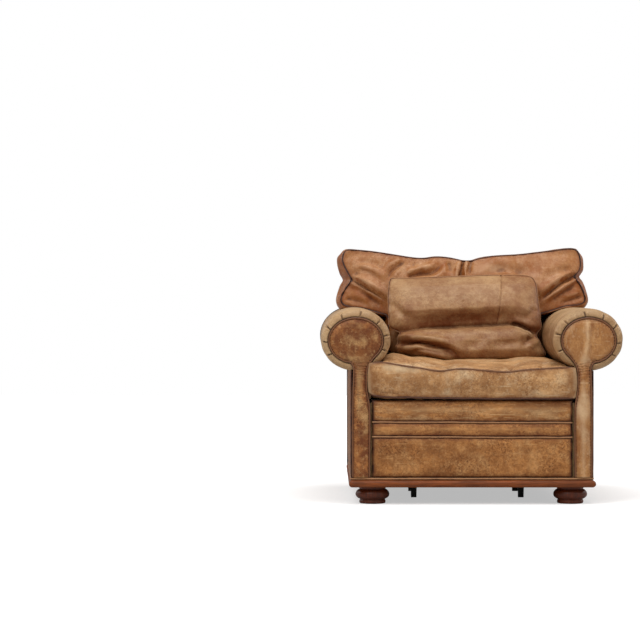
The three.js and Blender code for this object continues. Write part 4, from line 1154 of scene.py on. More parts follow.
class CHAIR_OT_border(bpy.types.Operator):
    """Makes the three padded bands across the front and the piping between them"""

    bl_idname = "chair.border"
    bl_label = "Front border"

    def execute(self, context):
        sizes = context.scene.chair_sizes
        colours = context.scene.chair_colours
        hides = {
            "lower": worn_leather("border_hide_lower", colours.border, "#6C3C16", "#D0A068", 0.75, 1.1,
                                  0.3, 0.5, 1.0),
            "middle": worn_leather("border_hide_middle", colours.border, "#683614", "#CE9C64", 0.9, 1.0,
                                   0.35, 0.46, 3.0, (0.5, 2, 2)),
            "upper": worn_leather("border_hide_upper", colours.border, "#6C3C18", "#DCB480", 0.85, 0.9,
                                  0.35, 0.46, 9.0, (0.5, 2, 2)),
        }
        cord = piping_leather("border_piping", colours.piping, "#2C140C")
        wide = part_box("front_border_lower")[1].x
        set_back = FRONT + 0.010
        rims = []
        for name in ("lower", "upper"):
            low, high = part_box(f"border_welt_{name}")
            z = (low.z + high.z) / 2
            xs = np.linspace(-wide, wide, 160)
            waver = noise(np.stack([xs, xs, xs], 1), 0.12, int(z * 100), 2) * 0.0012
            sag = -0.0022 * ease(-0.35, 0.35, xs) + waver
            line = np.stack([xs, np.full_like(xs, set_back - 0.0006), z + sag], axis=1)
            rims.append(line)
            placed(tube(f"border_piping_{name}", line, sizes.piping, cord), "piping", f"border_welt_{name}")
        across = np.linspace(-wide, wide, 60)
        for k, name in enumerate(("lower", "middle", "upper")):
            low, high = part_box(f"front_border_{name}")
            crown = (0.007, 0.010, 0.0105)[k]

            def place(u, v):
                x = wide * (2 * u - 1)
                z0 = low.z if k == 0 else np.interp(x, rims[k - 1][:, 0], rims[k - 1][:, 2]) + 0.003
                z1 = high.z if k == 2 else np.interp(x, rims[k][:, 0], rims[k][:, 2]) - 0.003
                z = z0 + (z1 - z0) * v
                x = x + 0 * v
                face = np.stack([x, np.full_like(x, set_back), z], axis=2)
                return face, np.broadcast_to(np.array([0.0, -1.0, 0.0]), face.shape)

            rows = (44, 18, 26)[k]
            piece = panel(f"border_{name}", 150, rows, place, 0.008, crown, hides[name],
                          20 + k, 0.0013, 0.010)
            if name == "lower":
                nick = [(-0.225, 0.148), (-0.216, 0.139), (-0.209, 0.130)]
                creased(piece, nick, 0.0022, 0.0022, 0.3, 0, 1.0)
            if name == "upper":
                creased(piece, [(-0.05, 0.298), (0.03, 0.2945), (0.11, 0.299)], 0.004, 0.0022, 0.3, 0, 1.0)
            foot, crest = (upright(np.stack([across, np.full(60, z)], 1), set_back) for z in (low.z, high.z))
            ends = [np.array([[s * wide, set_back, low.z], [s * wide, set_back, high.z]]) for s in (-1, 1)]

            def tone(points):
                # Paler across the middle of the middle and upper bands, partly wear and partly a painted
                # highlight on their crowns; painted shade along each band's foot and towards its ends, beside
                # the facings.
                x, z = np.abs(points[:, 0]), points[:, 2]
                share = (z - low.z) / (high.z - low.z)
                wear_and_highlight = 0.4 * bump(share, 0.55, 0.2) * (k > 0)
                return wear_and_highlight - ease(0.325, 0.346, x) - 0.5 * ease(0.2, 0.0, share)

            mark_wear(piece, [foot, crest, *ends], 0.0045, tone, 0.009)
            points = points_of(piece)
            # The last few millimetres of each band's end are marked as seam: painted shade in the gap beside
            # the facing.
            painted_end_shade = 0.9 * ease(wide - 0.011, wide - 0.005, np.abs(points[:, 0]))
            along_seam = closeness(points, [foot, crest], 0.0045)
            mark(piece, "seam", np.maximum(along_seam, painted_end_shade))
            placed(piece, "leather_border", f"front_border_{name}")
        low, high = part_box("base_welt")
        radius = (high.z - low.z) / 2
        soft = 0.006
        x, y0, y1 = high.x - radius, low.y + radius, high.y - radius
        corner = [(math.cos(a) * soft, math.sin(a) * soft) for a in np.linspace(0, math.pi / 2, 6)]
        loop = []
        for cx, cy, quarter in ((x, y1, 0), (-x, y1, 1), (-x, y0, 2), (x, y0, 3)):
            for dx, dy in corner:
                rx, ry = ((dx, dy), (-dy, dx), (-dx, -dy), (dy, -dx))[quarter]
                loop.append((cx - math.copysign(soft, cx) + rx, cy - (soft if cy == y1 else -soft) + ry))
        loop = even_loop(np.array(loop), 419)
        wave = noise(loop[:, (0, 1, 0)], 0.15, 6, 2) * 0.0006
        line = np.stack([loop[:, 0], loop[:, 1], (low.z + high.z) / 2 + wave], axis=1)
        out = (loop - (0, (y0 + y1) / 2)) / (x, (y1 - y0) / 2)
        out = np.column_stack([out, np.full(len(loop), 0.25)])
        placed(tube("base_piping", line, radius, cord, closed=True, sides=12, outward=out),
               "piping", "base_welt")
        return {"FINISHED"}


def roll_half(z):
    """Half the width of the chair's back at a height."""
    share = np.clip((z - ROLL_Z) / ROLL_HALF[1], -1, 1)
    lobe = ROLL_X + ROLL_HALF[0] * np.sqrt(1 - share**2)
    low = np.where(z < ROLL_Z - ROLL_HALF[1] + 0.004, SIDE_X, lobe)
    low = np.maximum(low, np.where(z < ROLL_Z, SIDE_X, 0))
    high, round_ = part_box("back_band")[1], SHOULDER_ROUND
    over = np.sqrt(np.clip(round_**2 - np.clip(z - (high.z - round_), 0, round_) ** 2, 0, None))
    upper = high.x - round_ + over
    return np.where(z > ROLL_Z, np.maximum(np.where(z < ROLL_TOP, lobe, 0), upper), low)


class CHAIR_OT_panels(bpy.types.Operator):
    """Makes the side panels, the outside back and the upper back"""

    bl_idname = "chair.panels"
    bl_label = "Side and back panels"

    def execute(self, context):
        colours = context.scene.chair_colours
        hide = worn_leather("outside_hide", colours.outside, "#704320", "#C0925F", 0.6, 0.8, 0.35, 0.48, 13.0)
        cord = piping_leather("back_piping", colours.piping, "#2C140C")
        for side, sign in SIDES:
            low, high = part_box(f"side_panel_{side}")
            x = high.x - 0.002 if sign > 0 else low.x + 0.002

            def place(u, v):
                y = low.y + (high.y - low.y) * u + 0 * v
                z = low.z + (high.z + 0.004 - low.z) * v + 0 * u
                face = np.stack([np.full_like(y, x), y, z], axis=2)
                return face, np.broadcast_to(np.array([float(sign), 0.0, 0.0]), face.shape)

            piece = panel(f"side_{side}", 110, 46, place, 0.004, 0.0035, hide, 31 + sign, 0.0016, 0.02)
            foot, rear_foot, top, rear_top = ((x, y, z) for z in (low.z, high.z) for y in (low.y, high.y))
            seams = [np.array(ends) for ends in ((foot, rear_foot), (foot, top), (rear_foot, rear_top))]

            def tone(points):
                # Darker all over, partly hide less faded and partly painted shade under the rolls, and darker
                # still behind the facings, which is painted shade.
                return -0.5 - 0.5 * ease(FRONT + 0.16, FRONT + 0.04, points[:, 1])

            mark_wear(piece, seams, 0.006, tone, 0.03)
            placed(piece, "leather_outside", f"side_panel_{side}")

        low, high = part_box("outside_back")
        levels = np.unique(np.concatenate([
            np.linspace(low.z, 0.45, 34), np.linspace(0.45, 0.70, 64), np.linspace(0.70, SHOULDER, 9),
            SHOULDER + SHOULDER_ROUND * np.sin(np.linspace(0, 1.5, 14)),
        ]))
        us = np.linspace(-1, 1, 97)
        xs = roll_half(levels)[None] * us[:, None]
        zs = np.broadcast_to(levels[None], xs.shape)
        edge = np.minimum(roll_half(levels)[None] - np.abs(xs), zs - low.z)
        edge = np.minimum(edge, np.abs(high.z - zs) + 0.004)
        rise = 0.004 * (1 - np.exp(-edge / 0.02))
        flat = np.stack([xs, np.full_like(xs, BACK - 0.003), zs], axis=2)
        rise = rise + noise(flat, 0.16, 41, 3) * 0.0018 * np.clip(edge / 0.03, 0, 1)
        front = flat + np.array([0, 1.0, 0]) * rise[..., None]
        back = flat - np.array([0, 0.001, 0])
        piece, seam, _ = padded("outer_back", np.ones((96, len(levels) - 1), bool), front, back, 1, 0.0, hide)
        outline = points_of(piece)[seam]
        mark_wear(piece, [looped(outline)], 0.005, None, 0.02)
        placed(piece, "leather_outside", "outside_back")
        climb = np.linspace(PLINTH_TOP - 0.003, high.z - 0.001, 260)
        right = np.stack([roll_half(climb), np.full_like(climb, BACK - 0.002), climb], 1)
        line = even(np.vstack([right * [-1, 1, 1], right[::-1]]), 420)
        placed(tube("back_edge_piping", line, 0.003, cord, outward=(0, 1, 0)), "piping")

        low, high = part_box("back_band")
        wide, top, round_ = high.x, high.z, SHOULDER_ROUND
        arch = [(wide, low.z), (wide, top - round_)]
        arch += [(wide - round_ + round_ * math.cos(a), top - round_ + round_ * math.sin(a))
                 for a in np.linspace(0, math.pi / 2, 12)[1:]]
        arch = np.array(arch)
        arch = even(np.vstack([arch, (arch * [-1, 1])[::-1]]), 181)
        ahead = np.gradient(arch, axis=0)
        ahead /= np.linalg.norm(ahead, axis=1)[:, None]
        out = np.stack([ahead[:, 1], -ahead[:, 0]], axis=1)
        y0, y1, thick = low.y + 0.002, high.y, 0.009
        profile = [(y0, -thick), (y0 - 0.001, -thick / 2), (y0 + 0.001, 0)]
        profile += [(y, 0.0035 * math.sin(math.pi * (y - y0) / (y1 - y0)) ** 0.5)
                    for y in np.linspace(y0, y1, 16)[1:-1]]
        profile += [(y1, 0), (y1, -thick)]
        points = np.array([(x + ox * r, y, z + oz * r) for (x, z),
                           (ox, oz) in zip(arch, out) for y, r in profile])
        points += noise(points, 0.09, 44, 2)[:, None] * 0.0008
        band = make("upper_band", points, ringed(len(arch), len(profile)), hide)
        rear = upright(arch, y1)
        mark_wear(band, [rear], 0.005)
        placed(band, "leather_outside", "back_band")

        low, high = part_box("inside_back")
        clear, narrow, round_ = 0.004, 0.373, 0.033
        levels = np.concatenate([np.linspace(low.z + 0.001, 0.672, 30), np.linspace(0.684, SHOULDER, 9),
                                 SHOULDER + round_ * np.sin(np.linspace(0.2, 1.3, 8))])

        def half(z):
            share = np.clip(np.abs(z - ROLL_Z) / ROLL_HALF[1], 0, 1)
            lobe = ROLL_X - ROLL_HALF[0] * np.sqrt(1 - share**2)
            tucked = np.where(z < ROLL_Z, np.minimum(lobe, WALL_X), lobe) - clear
            over = round_ * np.sqrt(np.clip(1 - (np.clip(z - SHOULDER, 0, round_) / round_) ** 2, 0, 1))
            return np.where(z < ROLL_TOP, tucked, narrow + over)

        us = np.linspace(-1, 1, 41)
        xs = half(levels)[None] * us[:, None]
        zs = np.broadcast_to(levels[None], xs.shape)
        ys = BACK_FOOT + (zs - SEAT) * LEAN
        front = np.stack([xs, ys + 0.002 + noise(np.stack([xs, ys, zs], 2), 0.1, 47, 2) * 0.0015, zs], axis=2)
        back = np.stack([xs, ys + 0.046, zs], axis=2)
        piece, _, _ = padded("inner_back", np.ones((40, len(levels) - 1), bool), front, back, 2, 0.0, hide)
        mark_wear(piece)
        placed(piece, "leather_outside", "inside_back")
        return {"FINISHED"}


# Cushions


class CHAIR_OT_seat(bpy.types.Operator):
    """Makes the boxed seat cushion, its puffed top and its piping"""

    bl_idname = "chair.seat"
    bl_label = "Seat cushion"

    def execute(self, context):
        sizes = context.scene.chair_sizes
        colours = context.scene.chair_colours
        hide = worn_leather("seat_hide", colours.seat, "#7C4C22", "#D8BE98", 0.7, 0.8, 0.35, 0.46, 17.0)
        cord = piping_leather("seat_piping", "#7A5034", "#26120A")
        # The lower piping is darker: partly dark hide, partly painted shade of the gap under the cushion.
        dark_cord = piping_leather("seat_piping_shaded", "#54301C", "#1C0C06")
        low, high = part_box("seat_cushion")
        nx, ny = 84, 82
        foot = low.z + 0.0005
        # Heights of the top seam along the front edge, from left to right.
        front_seam = [(-0.366, 0.494), (-0.313, 0.4955), (-0.2635, 0.487), (-0.193, 0.4765), (-0.1115, 0.464),
                      (-0.0512, 0.471), (0.0406, 0.466), (0.114, 0.461), (0.197, 0.469), (0.2676, 0.474),
                      (0.338, 0.4775), (0.366, 0.475)]
        lower_seam = [(-0.366, 0.390), (-0.350, 0.379), (-0.325, 0.373), (-0.2, 0.369), (0.0, 0.366),
                      (0.2, 0.3655), (0.366, 0.366)]
        us = np.linspace(-1, 1, nx + 1)
        vs = np.linspace(0, 1, ny + 1)
        y0, y1 = low.y + 0.001, high.y - 0.003
        ys = y0 + (y1 - y0) * vs
        lip = ease(FRONT - 0.0005, FRONT - 0.005, ys)
        half = (WALL_X - 0.0055) + lip * (0.3645 - WALL_X + 0.0035)
        xs = us[:, None] * half[None]
        # The plan's front corners are rounded.
        yy = np.broadcast_to(ys[None], xs.shape).copy()
        yy += 0.010 * np.clip((np.abs(us)[:, None] - 0.94) / 0.06, 0, 1) ** 2 * (1 - ease(0, 0.06, vs))[None]
        back_share = vs[None]
        edge_z = edge_at(front_seam, xs) + (0.476 - edge_at(front_seam, xs)) * ease(0.1, 0.6, back_share)
        inside_u = 1 - np.abs(us)[:, None] ** 6
        lobes = 1.0
        for where, wide, share in ((-0.075, 0.028, -0.42), (0.135, 0.030, -0.34), (-0.20, 0.02, -0.2),
                                   (-0.275, 0.045, 0.35)):
            lobes = lobes + share * bump(xs, where, wide)
        # The crown has sunk where the pillow stands and people sit.
        full = edge_at([(-0.36, 0.024), (-0.26, 0.027), (-0.17, 0.018), (-0.08, 0.010), (0.08, 0.009),
                        (0.2, 0.016), (0.30, 0.020), (0.36, 0.020)], xs)
        crown = full * inside_u * lobes * ease(0, 0.2, back_share) * (1 - 0.35 * ease(0.7, 1, back_share))
        zz = edge_z + crown
        # It passes under the rolls at its sides.
        across = (ROLL_X - np.abs(xs)) / ROLL_HALF[0]
        under_roll = ROLL_Z - ROLL_HALF[1] * np.sqrt(np.clip(1 - across**2, 0, 1))
        lowered = zz + (np.minimum(zz, under_roll - 0.004) - zz) * ease(FRONT, FRONT + 0.01, yy)
        zz = np.where(across < 1, lowered, zz)
        top = np.stack([xs, yy, zz], axis=2)
        low_z = edge_at(lower_seam, xs) + (foot - edge_at(lower_seam, xs)) * ease(0.0, 0.12, back_share)
        base = np.stack([xs, yy + 0.002 * (1 - back_share), low_z], axis=2)
        piece, seam, lower = padded("seat_pad", np.ones((nx, ny), bool), top, base, 11, 0.006, hide)
        points = points_of(piece)
        bottom = np.nonzero((points[:, 2] < foot + 0.006) & (points[:, 1] > y0 + 0.05))[0]
        held = sorted(set(seam) | set(lower) | set(bottom.tolist()))
        inflated(piece, held, sizes.filling, sizes.slack, 0.009)
        subdivided(piece)
        # Soft wrinkles, drag lines in the boxing, and the valleys between the puffs of the top.
        points, normals = points_of(piece), normals_of(piece)
        upward = normals[:, 2] > 0.3
        fronted = (normals[:, 1] < -0.35) & (points[:, 1] < FRONT + 0.03)
        ruffled(piece, sizes.wrinkle, 0.06, 51, np.where(upward, 1.0, 0.8))
        points = points_of(piece)
        slanted = points[:, 0] * 0.8 + points[:, 2] * 0.9
        drag = np.sin(slanted * 110 + 5 * noise(points, 0.08, 53, 2))
        drag = drag * ease(0.0, 0.6, noise(points, 0.12, 54, 2))
        points += normals * (drag * 0.0009 * fronted)[:, None]
        set_points(piece, points)
        for x, lean in ((-0.078, -0.02), (0.132, 0.03), (-0.205, -0.012), (0.245, 0.012)):
            points = points_of(piece)
            back_by = np.clip((points[:, 1] - FRONT) / 0.16, 0, 1)
            away = np.abs(points[:, 0] - (x + lean * back_by))
            depth = 0.011 if abs(x) < 0.15 else 0.0075
            dip = np.exp(-((away / (0.006 + 0.02 * back_by)) ** 2)) * depth * (1 - back_by) ** 0.7
            points[:, 2] -= dip * upward * ease(FRONT - 0.012, FRONT + 0.006, points[:, 1])
            set_points(piece, points)
        # A fold along the lower left of the boxing, where the cushion has slumped over its edge.
        creased(piece, [(-0.352, 0.408), (-0.325, 0.392), (-0.27, 0.384), (-0.20, 0.381)],
                0.004, 0.004, 0.3, 1)
        seam_line, lower_line = (smoothed(points_of(piece)[k]) for k in (seam, lower))
        rims = [looped(seam_line), looped(lower_line)]

        def tone(points):
            # Pale scuffs along the front's upper edge; darker towards both ends and along the foot of the
            # boxing, and a touch darker behind the front.
            x, y, z = points.T
            scuffed = spots(x, z, (
                (0.8, -0.245, 0.10, 0.474, 0.020), (0.4, -0.02, 0.05, 0.445, 0.015), (0.3, 0.13, 0.03,
                                                                                      0.42, 0.02),
            ))
            darker_ends_and_foot = 1.1 * ease(0.30, 0.352, np.abs(x)) + 0.6 * ease(0.392, 0.372, z)
            darker_ends_and_foot = darker_ends_and_foot + spots(x, z, [(0.4, -0.23, 0.1, 0.425, 0.02)])
            return ease(FRONT + 0.03, FRONT, y) * (scuffed - darker_ends_and_foot) - 0.08 * ease(FRONT, FRONT + 0.02, y)

        mark_wear(piece, rims, 0.0035, tone, 0.007)
        placed(piece, "leather_seat", "seat_cushion")
        for name, line, way, radius, strip in (
            ("upper", seam_line, 0.02, sizes.piping * 0.7, cord), ("lower", lower_line, -0.02,
                                                                   sizes.piping, dark_cord),
        ):
            out = line - line.mean(0)
            out[:, 2] = way
            out[:, 1] = np.where(line[:, 1] < FRONT + 0.02, -1.0, out[:, 1])
            welt = tube(f"seat_piping_{name}", even_loop(line, 459),
                        radius, strip, True, 10, even_loop(out, 459))
            placed(welt, "leather_seat")
        return {"FINISHED"}


class CHAIR_OT_back(bpy.types.Operator):
    """Makes the T-shaped back cushion with its pinched sides and piping"""

    bl_idname = "chair.back"
    bl_label = "Back cushion"

    def execute(self, context):
        sizes = context.scene.chair_sizes
        colours = context.scene.chair_colours
        hide = worn_leather("back_hide", colours.back, "#84440F", "#C49A74", 0.65, 0.5, 0.2, 0.38, 23.0)
        cord = piping_leather("back_cushion_piping", "#5E3622", "#24100A")
        # The front seam as photographed: its top, the two sides over the arms, and the ears' lower edges.
        top_line = [(-0.455, 0.884), (-0.434, 0.893), (-0.39, 0.8905), (-0.298, 0.880), (-0.196, 0.863),
                    (-0.154, 0.858), (-0.1015, 0.865), (-0.045, 0.861), (0.012, 0.848), (0.080, 0.865),
                    (0.203, 0.8725), (0.295, 0.884), (0.391, 0.8966), (0.422, 0.895), (0.455, 0.885)]
        left_side = [(0.0, 0.446), (0.06, 0.4535), (0.17, 0.449), (0.32, 0.434), (0.47, 0.4165),
                     (0.62, 0.430), (0.76, 0.4435), (0.88, 0.4465), (0.96, 0.441), (1.0, 0.434)]
        right_side = [(0.0, 0.444), (0.06, 0.4545), (0.24, 0.446), (0.40, 0.431), (0.50, 0.4175),
                      (0.62, 0.4335), (0.8, 0.4365), (0.92, 0.433), (1.0, 0.422)]
        waist, reach_out, foot = 0.2765, 0.445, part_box("back_cushion")[0].z + 0.002
        ear_low = [(-0.455, 0.690), (-0.4395, 0.684), (-0.36, 0.672), (-0.283, 0.652), (-0.2, 0.650),
                   (0.2, 0.652), (0.292, 0.658), (0.374, 0.680), (0.4255, 0.688), (0.455, 0.692)]
        ears, middle, lower, upper = 20, 60, 16, 28
        xs0 = np.concatenate([
            np.linspace(-reach_out, -waist, ears + 1)[:-1], np.linspace(-waist, waist, middle + 1),
            np.linspace(waist, reach_out, ears + 1)[1:],
        ])
        nu, nv = len(xs0) - 1, lower + upper
        vs = np.concatenate([np.linspace(-1, 0, lower + 1)[:-1], np.linspace(0, 1, upper + 1)])
        share = np.clip(vs, 0, 1)[None]
        u = xs0[:, None] / reach_out
        reach = np.where(u < 0, edge_at(left_side, share), edge_at(right_side, share))
        x = xs0[:, None] + np.sign(u) * np.abs(u) ** 3 * (reach - reach_out)
        x = np.where(vs[None] < 0, xs0[:, None], x)
        x_behind = np.where(vs[None] < 0, x, x + np.sign(u) * np.abs(u) ** 3 * (0.443 - reach) * 0.75)
        mid = edge_at(ear_low, x)
        high = edge_at(top_line, x)
        z = np.where(vs[None] < 0, foot + (mid - foot) * (1 + vs[None]), mid + (high - mid) * share)
        rear = BACK_FOOT + (z - SEAT) * LEAN - 0.003
        face = rear - 0.145
        tall = np.clip(1 - np.abs(2 * (z - foot) / (0.87 - foot) - 1) ** 4, 0, 1)
        front = np.stack([x, face - 0.030 * (1 - np.abs(u) ** 4) * tall, z], axis=2)
        # The rear face is a little lower than the front one, and on the right it narrows towards the top.
        x_behind = x_behind * np.where(x > 0, 1.0 - 0.030 * share, 1.006)
        behind = np.stack([x_behind, rear, z - 0.006 * share - 0.002], axis=2)
        inside = np.zeros((nu, nv), bool)
        inside[:, lower:] = True
        inside[ears : ears + middle, :lower] = True

        def swell(near):
            # The boxing is fuller at the sides than along the top, where it is pulled tight.
            return 0.004 + 0.012 * ease(0.36, 0.41, np.abs(near[:, 0])) * ease(0.885, 0.86, near[:, 2])

        piece, seam, far = padded("back_pad", inside, front, behind, 14, swell, hide)
        points = points_of(piece)
        flat_back = np.nonzero(points[:, 1] > BACK_FOOT + (points[:, 2] - SEAT) * LEAN - 0.004)[0]
        tight = 1 - 0.8 * ease(-0.012, 0.0, points[:, 2] - edge_at(top_line, points[:, 0]))
        inflated(piece, sorted(set(seam) | set(flat_back.tolist())), sizes.filling, sizes.slack * 1.4, 0.018,
                 freely=tight)
        subdivided(piece)
        ruffled(piece, sizes.wrinkle, 0.09, 61)
        # The pinches draw the boxing in.
        points = points_of(piece)
        normals = normals_of(piece)
        for x, z in ((-0.44, 0.782), (0.44, 0.796)):
            sideways = np.sign(x) * points[:, 0] > 0.35
            boxing = bump(points[:, 2], z, 0.014) * sideways * ease(0.1, 0.9, np.abs(normals[:, 0]))
            points[:, 0] -= np.sign(x) * boxing * 0.006
        # The lobe under each pinch hangs further back than the face above it.
        for sign, pinch in ((-1, ((-0.43, 0.785), (-0.27, 0.69))), (1, ((0.43, 0.797), (0.27, 0.69)))):
            (x0, z0), (x1, z1) = pinch
            below = z0 + (points[:, 0] - x0) * (z1 - z0) / (x1 - x0) - points[:, 2]
            outer = ease(0.25, 0.33, points[:, 0] * sign)
            points[:, 1] += 0.018 * outer * ease(0.0, 0.025, below) * ease(0.1, 0.7, -normals[:, 1])
        set_points(piece, points)
        # Long folds that run from the pinches across the face, and the creases under the dip of the top seam.
        folds = (
            ([(-0.430, 0.784), (-0.395, 0.772), (-0.347, 0.742), (-0.30, 0.708), (-0.255, 0.668)],
             0.009, 0.019, 0.4, 1),
            ([(-0.405, 0.765), (-0.36, 0.728), (-0.32, 0.696), (-0.28, 0.66)], 0.008, 0.006, 0.3, -1),
            ([(-0.425, 0.795), (-0.37, 0.800), (-0.31, 0.775), (-0.27, 0.74)], 0.011, 0.006, 0.3, 0),
            ([(-0.44, 0.712), (-0.39, 0.702), (-0.33, 0.680)], 0.007, 0.005, 0.4, 0),
            ([(-0.212, 0.848), (-0.2462, 0.828), (-0.267, 0.8094), (-0.277, 0.785), (-0.28, 0.76)],
             0.008, 0.011, 0.5, 0),
            ([(-0.215, 0.790), (-0.1567, 0.8033), (-0.1148, 0.8094), (-0.085, 0.8273), (-0.060, 0.845)],
             0.008, 0.015, 0.6, 0),
            ([(-0.19, 0.850), (-0.175, 0.825), (-0.168, 0.79)], 0.011, 0.003, 0.4, 0),
            ([(0.142, 0.870), (0.146, 0.835), (0.150, 0.78)], 0.009, 0.0025, 0.4, 0),
            ([(-0.40, 0.855), (-0.33, 0.838), (-0.26, 0.80)], 0.010, 0.006, 0.4, 0),
            ([(-0.39, 0.825), (-0.33, 0.800), (-0.29, 0.765)], 0.008, 0.006, 0.5, 0),
            ([(0.004, 0.853), (-0.003, 0.825), (-0.008, 0.79), (-0.008, 0.76)], 0.006, 0.016, 0.5, 0),
            ([(0.035, 0.855), (0.026, 0.828), (0.020, 0.79)], 0.007, 0.008, 0.4, 0),
            ([(-0.055, 0.850), (-0.048, 0.83), (-0.045, 0.80)], 0.009, 0.008, 0.4, 0),
            ([(0.430, 0.798), (0.397, 0.787), (0.363, 0.769), (0.311, 0.727), (0.262, 0.678)],
             0.009, 0.022, 0.4, -1),
            ([(0.42, 0.76), (0.37, 0.728), (0.31, 0.690)], 0.010, 0.005, 0.3, 0),
            ([(0.445, 0.722), (0.40, 0.706), (0.34, 0.690)], 0.008, 0.009, 0.4, 0),
            ([(0.41, 0.815), (0.36, 0.808), (0.30, 0.785), (0.26, 0.76)], 0.013, 0.005, 0.3, 0),
            ([(0.07, 0.80), (0.14, 0.818), (0.23, 0.812), (0.32, 0.83)], 0.014, 0.010, 0.4, 0),
        )
        for line, width, depth, lip, side in folds:
            creased(piece, line, width, depth, lip, side)
        # Short puckers along the seams.
        seam_line, far_line = (smoothed(points_of(piece)[k]) for k in (seam, far))
        points = points_of(piece)
        normals = normals_of(piece)
        close = closeness(points, [looped(seam_line)], 0.018)
        gather = np.sin(points[:, 0] * 150 + points[:, 2] * 140 + 5 * noise(points, 0.06, 63, 2))
        close = close * ease(-0.2, 0.6, noise(points, 0.15, 65, 2))
        points += normals * (gather * close * 0.0010)[:, None]
        set_points(piece, points)
        rims = [looped(seam_line), looped(far_line)]
        sideward = np.abs(normals[:, 0]) > 0.6

        def on_face(line):
            """Points on the front face, from points given in X and Z."""
            some, facing = points[::3], normals[::3, 1] < -0.2
            apart = np.linalg.norm(some[None, :, (0, 2)] - np.array(line)[:, None], axis=2)
            return some[np.where(facing, apart, apart + 1).argmin(1)]

        shade_line = on_face([(-0.20, 0.796), (-0.1567, 0.8033), (-0.1148, 0.8094), (-0.085, 0.827),
                              (-0.066, 0.840)])
        upright_line = on_face([(-0.24, 0.836), (-0.2462, 0.828), (-0.267, 0.8094), (-0.277, 0.785)])

        def tone(points):
            # Paler patches under the top seam, partly faded hide and partly painted highlights on its puffs,
            # less painted shade along two folds at the upper left. The lobes under the pinches are darker,
            # painted shade lies in the valleys along them, and the boxing is darker all over.
            x, z = points[:, 0], points[:, 2]
            left = 0.785 + (x + 0.43) * -0.60 - z
            right = 0.797 + (x - 0.43) * 0.67 - z
            lobes = 0.75 * ease(0.0, 0.035, left) * ease(-0.25, -0.31, x)
            lobes = lobes + ease(0.0, 0.03, right) * ease(0.25, 0.31, x)
            fading_and_painted_light = spots(x, z, (
                (0.6, 0.10, 0.09, 0.822, 0.02), (0.3, -0.36, 0.06, 0.83, 0.04), (0.7, -0.225, 0.016, 0.832,
                                                                                 0.016),
                (0.5, -0.038, 0.018, 0.824, 0.016), (0.5, 0.10, 0.03, 0.828, 0.012),
                (0.4, -0.15, 0.03, 0.834, 0.010),
            ))
            fading_and_painted_light = fading_and_painted_light - 0.7 * closeness(points, [shade_line], 0.011)
            fading_and_painted_light = fading_and_painted_light - 0.5 * closeness(points, [upright_line], 0.010)
            valley = bump(left, 0.014, 0.018) * ease(-0.26, -0.36, x)
            valley = valley + bump(right, 0.012, 0.018) * ease(0.26, 0.35, x)
            return np.where(sideward, -1.0, fading_and_painted_light - lobes * 0.62 - valley * 0.8)

        mark_wear(piece, rims, 0.0035, tone, 0.009)
        placed(piece, "leather_back", "back_cushion")
        for name, line, way in (("front", seam_line, -1), ("rear", far_line, 1)):
            out = line - line.mean(0)
            out[:, 1] = way * 0.15
            cord_line, crest = even_loop(line, 519), even_loop(out, 519)
            welt = tube(f"back_cushion_piping_{name}", cord_line, sizes.piping * 0.8, cord, True, 10, crest)
            placed(welt, "leather_back")
        return {"FINISHED"}


